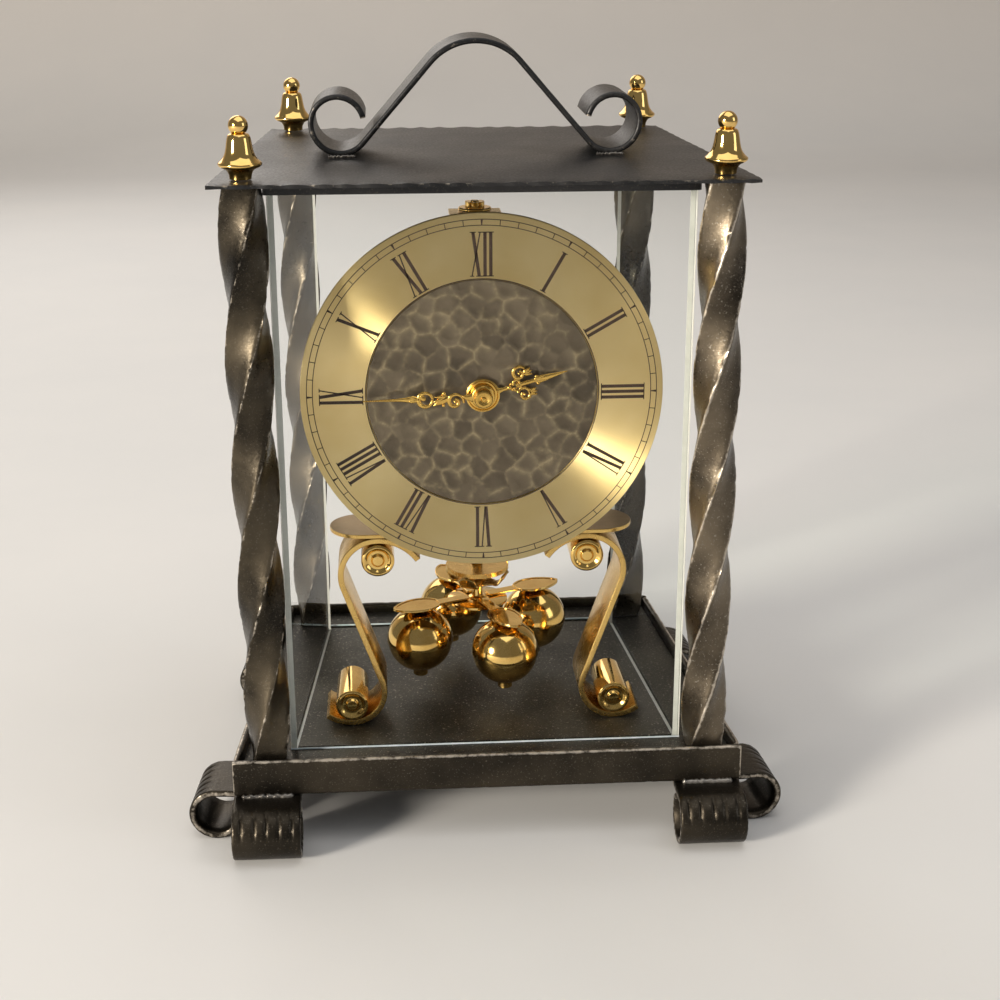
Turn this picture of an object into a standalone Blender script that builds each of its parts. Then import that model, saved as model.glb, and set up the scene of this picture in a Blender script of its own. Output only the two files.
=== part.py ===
"""Anniversary clock with a torsion pendulum, in a wrought-iron case with four glass sides.

Metres, +Z up. X runs across the dial, Y from the front to the back, and the origin is on the
surface that the feet stand on, below the middle of the case. The dial faces -Y.
"""
import math

import bmesh
import bpy
from mathutils import Matrix, Vector

# Fits
SEAT_GAP = 0.0003
RUNNING_GAP = 0.0003
CUT_OVERRUN = 0.001

# Scroll feet: one strip each, rolled down and back in under the frame
FOOT_STRIP_THICKNESS = 0.0025
FOOT_STRIP_WIDTH = 0.025
FOOT_ROLL_RADIUS = 0.00875
FOOT_TAB_REACH = 0.004
FOOT_ROLL_STANDOFF = 0.008
FOOT_FACETS_TO_FLOOR = 9
FOOT_FACETS_BEYOND_FLOOR = 7

# Base: four strips on edge round a sheet, narrower at the back than at the front
COLUMN_SPACING_FRONT = 0.162
COLUMN_SPACING_REAR = 0.139
COLUMN_SPACING_Y = 0.130
FRAME_OVERHANG_X = 0.0122
FRAME_OVERHANG_Y = 0.010
FRAME_STRIP_HEIGHT = 0.014
FRAME_STRIP_THICKNESS = 0.0025
FRAME_STRIP_CHAMFER = 0.0004
BASE_RECESS = 0.004
BASE_PLATE_THICKNESS = 0.003

# Twisted square columns
COLUMN_BAR = 0.0123
COLUMN_CHAMFER = 0.0011
COLUMN_QUARTER_TURNS = 5
COLUMN_STEPS = 22

# Top sheet, its glazing channel, the finials and the carry handle
TOP_HEADROOM = 0.0165
TOP_THICKNESS = 0.0018
TOP_OVERHANG = 0.010
TOP_WAVE_DEPTH = 0.0004
TOP_WAVES_PER_SIDE = 5
FINIAL_HEIGHT = 0.0206
FINIAL_RADIUS = 0.0075
FINIAL_BALL_RADIUS = 0.0034
HANDLE_HEIGHT = 0.041
HANDLE_THICKNESS = 0.002
HANDLE_WIDTH = 0.030
HANDLE_CROWN_RADIUS = 0.0215
HANDLE_SLOPE_DEG = 48.8
HANDLE_HEEL_RADIUS = 0.0105
HANDLE_SCROLL_RADIUS = 0.0094
HANDLE_SCROLL_DEG = 168

# Glass box inside the columns
GLASS_THICKNESS = 0.002
GLASS_SETBACK = 0.007
GLASS_BASE_GROOVE = 0.0015
GLASS_TOP_ENTRY = 0.0015
CHANNEL_WALL = 0.0008
CHANNEL_CORNER_CUT = 0.001
CHANNEL_HEIGHT = 0.0045
CHANNEL_GROOVE = 0.004
REAR_GLASS_LIFT = 0.002

# Movement support: two S-shaped bands under a platform, each clamped by two turned nuts
LEG_HEIGHT = 0.0765
LEG_THICKNESS = 0.0022
LEG_WIDTH = 0.022
LEG_FOOT_OFFSET = 0.0505
LEG_FOOT_RADIUS = 0.0125
LEG_TOE_RADIUS = 0.016
LEG_TOE_DEG = 36
LEG_HEAD_RADIUS = 0.014
LEG_CURL_RADIUS = 0.018
LEG_CURL_DEG = 56
LEG_LEAN_DEG = 19.4
SUPPORT_Y = -0.029
ROLLER_RADIUS = 0.0062
ROLLER_LENGTH = 0.024
ROLLER_RING_DEPTH = 0.0008
PLATFORM_LENGTH = 0.114
PLATFORM_DEPTH = 0.024
PLATFORM_END = 0.012
PLATFORM_THICKNESS = 0.0016

# Movement plates and pillars
MOVEMENT_WIDTH = 0.074
MOVEMENT_TOP_MARGIN = 0.0068
MOVEMENT_PLATE_THICKNESS = 0.0015
MOVEMENT_PLATE_SPACING = 0.0185
MOVEMENT_SETBACK = 0.002
MOVEMENT_CORNER = 0.004
PILLAR_RADIUS = 0.0026
PILLAR_INSET = 0.006

# Going train: wheel on one arbor, pinion on the next
GREAT_SPACING = 0.024
TRAIN_SPACING = 0.020
CENTRE_SPACING = 0.015
FOURTH_SPACING = 0.012
GREAT_TEETH = 54
TRAIN_TEETH = 54
TRAIN_LEAVES = 6
CENTRE_TEETH = 36
FOURTH_TEETH = 27
FAST_LEAVES = 9
ESCAPE_TEETH = 20
ESCAPE_RADIUS = 0.009
ESCAPE_TOOTH_DEPTH = 0.0018
WHEEL_THICKNESS = 0.0012
WHEEL_RIM = 0.0022
WHEEL_HUB_RADIUS = 0.0024
WHEEL_ARM_WIDTH = 0.0014
WHEEL_ARMS = 4
PINION_LENGTH = 0.0028
ARBOR_RADIUS = 0.001
PIVOT_RADIUS = 0.0006
PIVOT_SHOULDER = 0.0003
BARREL_RADIUS = 0.0175
BARREL_LENGTH = 0.0095
BARREL_HUB_RADIUS = 0.005
BARREL_ARBOR_RADIUS = 0.0022
BARREL_RISE = 0.0245
CENTRE_RISE = 0.0295
WINDING_SQUARE = 0.003
WINDING_LENGTH = 0.006
RATCHET_RADIUS = 0.0068
RATCHET_TEETH = 16
RATCHET_TOOTH_DEPTH = 0.0012
SECOND_ARBOR_DEG = 34
CENTRE_ESCAPE_SPACING = 0.024
ESCAPE_ANCHOR_SPACING = 0.0122

# Wheel levels, as shares of the space between the movement plates, from the front plate
SECOND_LEVEL_SHARE = 0.12
CENTRE_LEVEL_SHARE = 0.30
FOURTH_LEVEL_SHARE = 0.49
THIRD_LEVEL_SHARE = 0.68
GREAT_LEVEL_SHARE = 0.87
ESCAPE_LEVEL_SHARE = 0.84

# Teeth: shares of the module above and below the pitch circle, and of the pitch on a leaf's tip
TOOTH_ADDENDUM_SHARE = 0.80
TOOTH_DEDENDUM_SHARE = 1.90
LEAF_TIP_SHARE = 0.18

# Anchor and crutch fork
ANCHOR_SPAN = 0.0083
ANCHOR_DROP = 0.0056
ANCHOR_THICKNESS = 0.0017
ANCHOR_HUB_RADIUS = 0.0021
ANCHOR_PIN_RADIUS = 0.0006
ANCHOR_PIN_REACH = 0.0025
FORK_THICKNESS = 0.001
FORK_RISE = 0.0165
FORK_PRONG_WIDTH = 0.0011
FORK_PRONG_LENGTH = 0.006
FORK_SLOT_CLEARANCE = 0.0005
FORK_COLLAR_RADIUS = 0.003

# Motion work, dial and hands
DIAL_RADIUS = 0.0654
DIAL_THICKNESS = 0.0016
DIAL_STANDOFF = 0.0055
DIAL_BORE = 0.0041
DIAL_RECESS = 0.0011
DIAL_CENTRE_RADIUS = 0.0416
DIAL_CENTRE_THICKNESS = 0.0005
DIAL_FOOT_RADIUS = 0.0015
DIAL_FOOT_OFFSET = 0.027
MOTION_SPACING = 0.012
CANNON_LEAVES = 9
MINUTE_TEETH = 27
MINUTE_LEAVES = 8
HOUR_TEETH = 32
MINUTE_WHEEL_DEG = 230
CANNON_RADIUS = 0.0019
HOUR_PIPE_WALL = 0.0008
HAND_THICKNESS = 0.0008
HOUR_HAND_STANDOFF = 0.0016
HAND_SPACING = 0.0024
HOUR_HAND_LENGTH = 0.0315
MINUTE_HAND_LENGTH = 0.043
HOUR_HAND_DEG = 74.5
MINUTE_HAND_DEG = 269
HAND_BAR_WIDTH = 0.0016
HAND_TIP_WIDTH = 0.0005
HOUR_COLLAR_RADIUS = 0.0056
MINUTE_BOSS_RADIUS = 0.0042

# Suspension
BRACKET_WIDTH = 0.020
BRACKET_THICKNESS = 0.0015
BRACKET_LOW = 0.020
FORK_HEADROOM = 0.0008
BRACKET_REACH = 0.006
BRACKET_WINDOW_WIDTH = 0.012
BRACKET_WINDOW_HEIGHT = 0.011
BEAT_WASHER_RADIUS = 0.0062
BEAT_WASHER_THICKNESS = 0.0012
BEAT_NUT_RADIUS = 0.0037
BEAT_NUT_HEIGHT = 0.0024
BEAT_NUT_NOTCHES = 6
BEAT_NUT_NOTCH_DEPTH = 0.0008
BEAT_STEM_RADIUS = 0.0015
BEAT_STEM_DROP = 0.003
SPRING_WIDTH = 0.0014
SPRING_THICKNESS = 0.0004
SPRING_BLOCK_WIDTH = 0.005
SPRING_BLOCK_THICKNESS = 0.002
SPRING_BLOCK_HEIGHT = 0.005

# Pendulum
BALL_RADIUS = 0.0132
BALL_ORBIT = 0.0253
BALL_CLEARANCE = 0.0093
BALL_STUD_RADIUS = 0.0016
BALL_STUD_LENGTH = 0.002
BALL_NECK_RADIUS = 0.0012
PENDULUM_PHASE_DEG = 22
ARM_THICKNESS = 0.0011
ARM_INNER_RADIUS = 0.0045
ARM_OUTER_RADIUS = 0.0365
ARM_LEAF_WIDTH = 0.0125
ARM_WAIST_WIDTH = 0.0045
SPIDER_RADIUS = 0.012
SPIDER_THICKNESS = 0.0012
HUB_RADIUS = 0.0021
HUB_HEIGHT = 0.056
CROWN_HEIGHT = 0.0425
CROWN_THICKNESS = 0.001
CROWN_FLAT_RADIUS = 0.0075
CROWN_PETAL_LENGTH = 0.0062
CROWN_PETAL_WIDTH = 0.0075
CROWN_PETAL_DEG = 34
REGULATOR_HEIGHT = 0.0485
REGULATOR_RADIUS = 0.0125
REGULATOR_THICKNESS = 0.0018

# Numbers of sides on round pieces
SMALL_SIDES = 8
TURNED_SIDES = 12
FINIAL_SIDES = 11
BALL_SIDES = 14
BALL_ROWS = 7
DIAL_SIDES = 44
DRUM_SIDES = 24
ARC_STEP_DEG = 18
FLAT_DEG = 20

# Levels of the case, from the floor up
FOOT_STEP_DEG = 180 / (FOOT_FACETS_TO_FLOOR + 0.5)
FOOT_ROLL_HEIGHT = (FOOT_ROLL_RADIUS * math.cos(math.radians(FOOT_STEP_DEG / 2))
                    + FOOT_STRIP_THICKNESS / 2)
FRAME_BOTTOM = FOOT_ROLL_HEIGHT + FOOT_ROLL_RADIUS + FOOT_STRIP_THICKNESS / 2 + SEAT_GAP
FRAME_TOP = FRAME_BOTTOM + FRAME_STRIP_HEIGHT
BASE_TOP = FRAME_TOP - BASE_RECESS

# Plan of the case: how much each side closes in per depth, and the half depths
CASE_TAPER = (COLUMN_SPACING_FRONT - COLUMN_SPACING_REAR) / (2 * COLUMN_SPACING_Y)
CASE_TAPER_DEG = math.degrees(math.atan(CASE_TAPER))
FRAME_HALF_Y = COLUMN_SPACING_Y / 2 + FRAME_OVERHANG_Y
GLASS_HALF_Y = COLUMN_SPACING_Y / 2 - GLASS_SETBACK

# Places in the movement, as points (x, z) on the plates and y levels across them
PLATFORM_BOTTOM = BASE_TOP + SEAT_GAP + LEG_HEIGHT + SEAT_GAP
PLATFORM_TOP = PLATFORM_BOTTOM + PLATFORM_THICKNESS
MOVEMENT_BOTTOM = PLATFORM_TOP + SEAT_GAP
FRONT_PLATE_BACK = SUPPORT_Y + MOVEMENT_SETBACK - MOVEMENT_PLATE_SPACING / 2
FRONT_PLATE_FRONT = FRONT_PLATE_BACK - MOVEMENT_PLATE_THICKNESS
BACK_PLATE_FRONT = FRONT_PLATE_BACK + MOVEMENT_PLATE_SPACING
BACK_PLATE_BACK = BACK_PLATE_FRONT + MOVEMENT_PLATE_THICKNESS
DIAL_BACK = FRONT_PLATE_FRONT - DIAL_STANDOFF
DIAL_FRONT = DIAL_BACK - DIAL_THICKNESS


def to_xz(u, v, level):
    """Outline in the X-Z plane, thickness along Y."""
    return Vector((u, level, v))


def to_xy(u, v, level):
    """Outline in the X-Y plane, thickness along Z."""
    return Vector((u, v, level))


def case_half(y, outside):
    """Half the width of the case at a depth, taken outside the line through the columns."""
    return COLUMN_SPACING_FRONT / 2 - CASE_TAPER * (y + COLUMN_SPACING_Y / 2) + outside


def case_outline(front_y, rear_y, outside):
    """The case's tapering plan between two depths."""
    front, rear = case_half(front_y, outside), case_half(rear_y, outside)
    return [(-front, front_y), (front, front_y), (rear, rear_y), (-rear, rear_y)]


def case_side(half_depth, outside, thickness, side):
    """The plan of an upright piece along one side of the case; side is 1 for the right."""
    return [(side * case_half(y, outside - inset), y)
            for y, inset in ((-half_depth, 0.0), (half_depth, 0.0),
                             (half_depth, thickness), (-half_depth, thickness))]


def case_corners():
    """The name and place of each column."""
    half_depth = COLUMN_SPACING_Y / 2
    return [(f"{end}_{side}", sign * case_half(y, 0.0), y)
            for end, y in (("front", -half_depth), ("rear", half_depth))
            for side, sign in (("left", -1), ("right", 1))]


def cut_corners(outline, cut):
    """An outline with each corner replaced by two points, a given way along its two edges."""
    points = []
    for i, corner in enumerate(outline):
        for neighbour in (outline[i - 1], outline[(i + 1) % len(outline)]):
            along = (Vector(neighbour) - Vector(corner)).normalized()
            points.append(tuple(Vector(corner) + along * cut))
    return points


def third_corner(first, second, to_first, to_second, side):
    """The point at two given distances from two points, to one side of the line between them."""
    along = Vector(second) - Vector(first)
    span = along.length
    share = (to_first ** 2 - to_second ** 2 + span ** 2) / (2 * span)
    height = math.sqrt(to_first ** 2 - share ** 2)
    across = Vector((-along.y, along.x)) / span
    return tuple(Vector(first) + along * share / span + across * height * side)


def polar(centre, radius, angle_deg):
    """A point at a distance and an angle from another one."""
    angle = math.radians(angle_deg)
    return (centre[0] + radius * math.cos(angle), centre[1] + radius * math.sin(angle))


def angle_between(first, second):
    """The angle of the line from one point to another, in radians."""
    return math.atan2(second[1] - first[1], second[0] - first[0])


# Arbor places in the movement, and the module of each pair from the distance between its arbors
BARREL_PLACE = (0.0, MOVEMENT_BOTTOM + BARREL_RISE)
DIAL_CENTRE = (0.0, BARREL_PLACE[1] + CENTRE_RISE)
GREAT_MODULE = 2 * GREAT_SPACING / (GREAT_TEETH + TRAIN_LEAVES)
TRAIN_MODULE = 2 * TRAIN_SPACING / (TRAIN_TEETH + TRAIN_LEAVES)
CENTRE_MODULE = 2 * CENTRE_SPACING / (CENTRE_TEETH + FAST_LEAVES)
FOURTH_MODULE = 2 * FOURTH_SPACING / (FOURTH_TEETH + FAST_LEAVES)
MOTION_MODULE = 2 * MOTION_SPACING / (CANNON_LEAVES + MINUTE_TEETH)
HOUR_MODULE = 2 * MOTION_SPACING / (MINUTE_LEAVES + HOUR_TEETH)
SECOND_PLACE = polar(BARREL_PLACE, GREAT_SPACING, SECOND_ARBOR_DEG)
THIRD_PLACE = third_corner(SECOND_PLACE, DIAL_CENTRE, TRAIN_SPACING, TRAIN_SPACING, -1)
ESCAPE_PLACE = (0.0, DIAL_CENTRE[1] + CENTRE_ESCAPE_SPACING)
FOURTH_PLACE = third_corner(DIAL_CENTRE, ESCAPE_PLACE, CENTRE_SPACING, FOURTH_SPACING, 1)
ANCHOR_PLACE = (0.0, ESCAPE_PLACE[1] + ESCAPE_ANCHOR_SPACING)
MINUTE_PLACE = polar(DIAL_CENTRE, MOTION_SPACING, MINUTE_WHEEL_DEG)

# Levels above the movement: the fork, the bracket's table, the nut on it, and then the case top
MOVEMENT_TOP = ANCHOR_PLACE[1] + MOVEMENT_TOP_MARGIN
FORK_TOP = ANCHOR_PLACE[1] + FORK_RISE + FORK_THICKNESS / 2
TABLE_UNDERSIDE = FORK_TOP + FORK_HEADROOM + BEAT_STEM_DROP
TABLE_TOP = TABLE_UNDERSIDE + BRACKET_THICKNESS
SPRING_TOP = TABLE_UNDERSIDE - BEAT_STEM_DROP - SEAT_GAP
BEAT_NUT_TOP = TABLE_TOP + SEAT_GAP + BEAT_WASHER_THICKNESS + BEAT_NUT_HEIGHT
TOP_UNDERSIDE = BEAT_NUT_TOP + TOP_HEADROOM
TOP_SURFACE = TOP_UNDERSIDE + TOP_THICKNESS


def level(share):
    """The y of a wheel, from its share of the space between the movement plates."""
    return FRONT_PLATE_BACK + MOVEMENT_PLATE_SPACING * share


def clear_scene():
    for item in list(bpy.data.objects):
        bpy.data.objects.remove(item, do_unlink=True)


def make_material(name, colour, roughness, metallic, transmission=0.0):
    material = bpy.data.materials.new(name)
    material.use_nodes = True
    shader = material.node_tree.nodes["Principled BSDF"]
    shader.inputs["Base Color"].default_value = (*colour, 1.0)
    shader.inputs["Roughness"].default_value = roughness
    shader.inputs["Metallic"].default_value = metallic
    shader.inputs["Transmission Weight"].default_value = transmission
    material.diffuse_color = (*colour, 1.0)
    return material


def make_object(name, bm, material, place=(0.0, 0.0, 0.0), turn=None, smooth_deg=35):
    """A mesh object with its origin at place."""
    bmesh.ops.recalc_face_normals(bm, faces=bm.faces)
    mesh = bpy.data.meshes.new(name)
    bm.to_mesh(mesh)
    bm.free()
    mesh.shade_smooth()
    mesh.set_sharp_from_angle(angle=math.radians(smooth_deg))
    item = bpy.data.objects.new(name, mesh)
    mesh.materials.append(material)
    item.location = place
    if turn:
        item.rotation_euler = turn
    bpy.context.scene.collection.objects.link(item)
    return item


def copy_object(name, source, place, turn=(0.0, 0.0, 0.0)):
    """Another object on the same mesh."""
    item = bpy.data.objects.new(name, source.data)
    item.location = place
    item.rotation_euler = turn
    bpy.context.scene.collection.objects.link(item)
    return item


def combine(item, tool, operation):
    """Joins a tool solid to an object, or cuts it away, and removes the tool."""
    modifier = item.modifiers.new("combine", "BOOLEAN")
    modifier.operation = operation
    modifier.object = tool
    bpy.context.view_layer.update()
    graph = bpy.context.evaluated_depsgraph_get()
    mesh = bpy.data.meshes.new_from_object(item.evaluated_get(graph))
    item.modifiers.clear()
    item.data = mesh
    bpy.data.objects.remove(tool, do_unlink=True)


def join(item, *tools):
    for tool in tools:
        combine(item, tool, "UNION")


def tool_object(bm, place=(0.0, 0.0, 0.0), turn=None):
    """A solid that is only joined to a piece or cut from it."""
    item = make_object("tool", bm, bpy.data.materials["tool"], place, turn)
    item.hide_render = True
    item.display_type = "WIRE"
    return item


def sheet(loops, low, high, to_space):
    """A flat solid between two levels. The first loop is its edge and the others are holes."""
    bm = bmesh.new()
    edges = []
    for loop in loops:
        verts = [bm.verts.new(to_space(u, v, low)) for u, v in loop]
        edges += [bm.edges.new(pair) for pair in zip(verts, verts[1:] + verts[:1])]
    bmesh.ops.triangle_fill(bm, use_beauty=True, use_dissolve=False, edges=edges)
    raised = bmesh.ops.extrude_face_region(bm, geom=list(bm.faces))
    top = [part for part in raised["geom"] if isinstance(part, bmesh.types.BMVert)]
    bmesh.ops.translate(bm, verts=top, vec=to_space(0, 0, high) - to_space(0, 0, low))
    return bm


def rectangle(half_x, half_y, centre=(0.0, 0.0)):
    x, y = centre
    return [(x - half_x, y - half_y), (x + half_x, y - half_y),
            (x + half_x, y + half_y), (x - half_x, y + half_y)]


def circle(radius, sides, centre=(0.0, 0.0), phase=0.0):
    return [(centre[0] + radius * math.cos(phase + 2 * math.pi * i / sides),
             centre[1] + radius * math.sin(phase + 2 * math.pi * i / sides))
            for i in range(sides)]


def rounded_rectangle(half_x, half_y, radius, centre, corner_points=4):
    points = []
    for corner, (sx, sy) in enumerate(((1, 1), (-1, 1), (-1, -1), (1, -1))):
        for i in range(corner_points):
            angle = math.radians(90 * corner + 90 * i / (corner_points - 1))
            points.append((centre[0] + sx * (half_x - radius) + radius * math.cos(angle),
                           centre[1] + sy * (half_y - radius) + radius * math.sin(angle)))
    return points


def box(size, centre):
    bm = bmesh.new()
    bmesh.ops.create_cube(bm, size=1.0)
    bmesh.ops.transform(bm, matrix=Matrix.Diagonal((*size, 1.0)), verts=bm.verts)
    bmesh.ops.translate(bm, verts=bm.verts, vec=centre)
    return bm


def bridge(bm, low, high):
    """Faces between two rows of points, either of which may be a single point."""
    count = max(len(low), len(high))
    for i in range(count):
        following = (i + 1) % count
        corners = [low[i % len(low)]]
        if len(low) > 1:
            corners.append(low[following])
        if len(high) > 1:
            corners.append(high[following])
        corners.append(high[i % len(high)])
        bm.faces.new(corners)


def turned(profile, sides, along_y=False, ring=False):
    """A turned solid from points (radius, distance along the axis)."""
    bm = bmesh.new()
    rows = []
    for radius, along in profile:
        if radius == 0:
            rows.append([bm.verts.new((0, 0, along))])
        else:
            rows.append([bm.verts.new((u, v, along)) for u, v in circle(radius, sides)])
    for low, high in zip(rows, rows[1:] + rows[:1] if ring else rows[1:]):
        bridge(bm, low, high)
    if not ring:
        for row in (rows[0], rows[-1]):
            if len(row) > 1:
                bm.faces.new(row)
    if along_y:
        bmesh.ops.rotate(bm, verts=bm.verts, matrix=Matrix.Rotation(math.radians(-90), 3, "X"))
    return bm


def arc_points(start, heading_deg, radius, turn_deg, steps=None):
    """Points along an arc that leaves start, turning left by turn_deg; a negative turn is right."""
    side = 1 if turn_deg > 0 else -1
    steps = steps or max(2, math.ceil(abs(turn_deg) / ARC_STEP_DEG))
    centre = polar(start, radius, heading_deg + 90 * side)
    points = [polar(centre, radius, heading_deg - 90 * side + turn_deg * i / steps)
              for i in range(1, steps + 1)]
    return points, heading_deg + turn_deg


def strip(path, thickness, width):
    """A flat strip bent along a path in the X-Z plane, its width along Y."""
    bm = bmesh.new()
    rows = []
    for i, point in enumerate(path):
        before = Vector(path[max(i - 1, 0)])
        after = Vector(path[min(i + 1, len(path) - 1)])
        here = Vector(point)
        inward = (here - before).normalized() if i else (after - here).normalized()
        outward = (after - here).normalized() if i < len(path) - 1 else inward
        middle = (inward + outward).normalized()
        normal = Vector((-middle.y, middle.x)) / middle.dot(inward)
        inner = here + normal * thickness / 2
        outer = here - normal * thickness / 2
        rows.append([bm.verts.new((inner.x, -width / 2, inner.y)),
                     bm.verts.new((inner.x, width / 2, inner.y)),
                     bm.verts.new((outer.x, width / 2, outer.y)),
                     bm.verts.new((outer.x, -width / 2, outer.y))])
    for low, high in zip(rows, rows[1:]):
        bridge(bm, low, high)
    bm.faces.new(rows[0])
    bm.faces.new(rows[-1])
    return bm


def make_feet(iron):
    """Eight scroll feet, two at each corner, welded under the ends of the frame strips."""
    roll_top = FOOT_ROLL_HEIGHT + FOOT_ROLL_RADIUS
    facets = FOOT_FACETS_TO_FLOOR + FOOT_FACETS_BEYOND_FLOOR
    path = [(-FOOT_TAB_REACH, roll_top), (FOOT_ROLL_STANDOFF, roll_top)]
    path += arc_points(path[-1], 0, FOOT_ROLL_RADIUS, -FOOT_STEP_DEG * facets, facets)[0]
    mesh_source = None
    taper = math.radians(CASE_TAPER_DEG)
    half = FOOT_STRIP_WIDTH / 2
    front_end = case_half(-FRAME_HALF_Y, FRAME_OVERHANG_X) - half
    rear_end = case_half(FRAME_HALF_Y, FRAME_OVERHANG_X) - half
    behind_end = (FRAME_HALF_Y - FOOT_TAB_REACH - SEAT_GAP - half * math.cos(taper)
                  - FOOT_TAB_REACH * math.sin(taper))
    side_front = case_half(-behind_end, FRAME_OVERHANG_X)
    side_rear = case_half(behind_end, FRAME_OVERHANG_X)
    places = [("foot_front_left", -front_end, -FRAME_HALF_Y, -90),
              ("foot_front_right", front_end, -FRAME_HALF_Y, -90),
              ("foot_rear_left", -rear_end, FRAME_HALF_Y, 90),
              ("foot_rear_right", rear_end, FRAME_HALF_Y, 90),
              ("foot_left_front", -side_front, -behind_end, 180 - CASE_TAPER_DEG),
              ("foot_left_rear", -side_rear, behind_end, 180 - CASE_TAPER_DEG),
              ("foot_right_front", side_front, -behind_end, CASE_TAPER_DEG),
              ("foot_right_rear", side_rear, behind_end, CASE_TAPER_DEG)]
    for name, x, y, turn in places:
        rotation = (0.0, 0.0, math.radians(turn))
        if mesh_source is None:
            bm = strip(path, FOOT_STRIP_THICKNESS, FOOT_STRIP_WIDTH)
            mesh_source = make_object(name, bm, iron, (x, y, 0.0), rotation)
        else:
            copy_object(name, mesh_source, (x, y, 0.0), rotation)


def make_base(iron):
    """The sheet that everything stands on, inside four strips set on edge."""
    inside_y = FRAME_HALF_Y - FRAME_STRIP_THICKNESS
    side_half = inside_y - SEAT_GAP
    overhang, thickness = FRAME_OVERHANG_X, FRAME_STRIP_THICKNESS
    strips = [("base_strip_front", case_outline(-FRAME_HALF_Y, -inside_y, overhang)),
              ("base_strip_rear", case_outline(inside_y, FRAME_HALF_Y, overhang)),
              ("base_strip_left", case_side(side_half, overhang, thickness, -1)),
              ("base_strip_right", case_side(side_half, overhang, thickness, 1))]
    for name, outline in strips:
        bm = sheet([outline], FRAME_BOTTOM, FRAME_TOP, to_xy)
        bmesh.ops.recalc_face_normals(bm, faces=bm.faces)
        corners = [edge for edge in bm.edges if edge.calc_face_angle() > math.radians(FLAT_DEG)]
        bmesh.ops.bevel(bm, geom=corners, offset=FRAME_STRIP_CHAMFER, segments=1,
                        affect="EDGES")
        make_object(name, bm, iron)
    outline = case_outline(-side_half, side_half, overhang - thickness - SEAT_GAP)
    bm = sheet([outline], BASE_TOP - BASE_PLATE_THICKNESS, BASE_TOP, to_xy)
    base = make_object("base_plate", bm, iron)
    groove = sheet(glass_ring(RUNNING_GAP), BASE_TOP - GLASS_BASE_GROOVE,
                   BASE_TOP + CUT_OVERRUN, to_xy)
    combine(base, tool_object(groove), "DIFFERENCE")


def glass_ring(margin, corner_cut=0.0):
    """The outline of the glass box seen from above, with a margin on both of its faces."""
    outer_y = GLASS_HALF_Y + margin
    inner_y = GLASS_HALF_Y - GLASS_THICKNESS - margin
    outside = case_outline(-outer_y, outer_y, margin - GLASS_SETBACK)
    inside = case_outline(-inner_y, inner_y, -GLASS_SETBACK - GLASS_THICKNESS - margin)
    if corner_cut:
        outside = cut_corners(outside, corner_cut)
    return [outside, inside]


def make_columns(iron):
    """Four square bars, each twisted by whole quarter turns so that both ends stand square."""
    height = TOP_UNDERSIDE - BASE_TOP - 2 * SEAT_GAP
    half = COLUMN_BAR / 2
    flat = half - COLUMN_CHAMFER
    section = [(half, -flat), (half, flat), (flat, half), (-flat, half),
               (-half, flat), (-half, -flat), (-flat, -half), (flat, -half)]
    bm = bmesh.new()
    rows = []
    for step in range(COLUMN_STEPS + 1):
        share = step / COLUMN_STEPS
        twist = Matrix.Rotation(math.radians(90) * COLUMN_QUARTER_TURNS * share, 2)
        corners = [twist @ Vector(point) for point in section]
        rows.append([bm.verts.new((corner.x, corner.y, height * share)) for corner in corners])
    for low, high in zip(rows, rows[1:]):
        bridge(bm, low, high)
    bm.faces.new(rows[0])
    bm.faces.new(rows[-1])
    first = None
    for corner, x, y in case_corners():
        place = (x, y, BASE_TOP + SEAT_GAP)
        if first is None:
            first = make_object("column_" + corner, bm, iron, place)
        else:
            copy_object("column_" + corner, first, place)


def make_top(iron):
    """The top sheet with hammered, wavy edges and the glazing channel welded under it."""
    half_y = COLUMN_SPACING_Y / 2 + TOP_OVERHANG
    outline = []
    corners = case_outline(-half_y, half_y, TOP_OVERHANG)
    for corner, following in zip(corners, corners[1:] + corners[:1]):
        start, end = Vector(corner), Vector(following)
        outside = Vector((end.y - start.y, start.x - end.x)).normalized()
        for i in range(2 * TOP_WAVES_PER_SIDE):
            share = i / (2 * TOP_WAVES_PER_SIDE)
            dent = TOP_WAVE_DEPTH if i % 2 else 0.0
            outline.append(tuple(start.lerp(end, share) - outside * dent))
    top = make_object("top_plate", sheet([outline], TOP_UNDERSIDE, TOP_SURFACE, to_xy), iron)
    channel_outline = glass_ring(RUNNING_GAP + CHANNEL_WALL, CHANNEL_CORNER_CUT)
    channel = sheet(channel_outline, TOP_UNDERSIDE - CHANNEL_HEIGHT,
                    TOP_UNDERSIDE + TOP_THICKNESS / 2, to_xy)
    join(top, tool_object(channel))
    channel_bottom = TOP_UNDERSIDE - CHANNEL_HEIGHT
    groove = sheet(glass_ring(RUNNING_GAP), channel_bottom - CUT_OVERRUN,
                   channel_bottom + CHANNEL_GROOVE, to_xy)
    combine(top, tool_object(groove), "DIFFERENCE")


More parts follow.
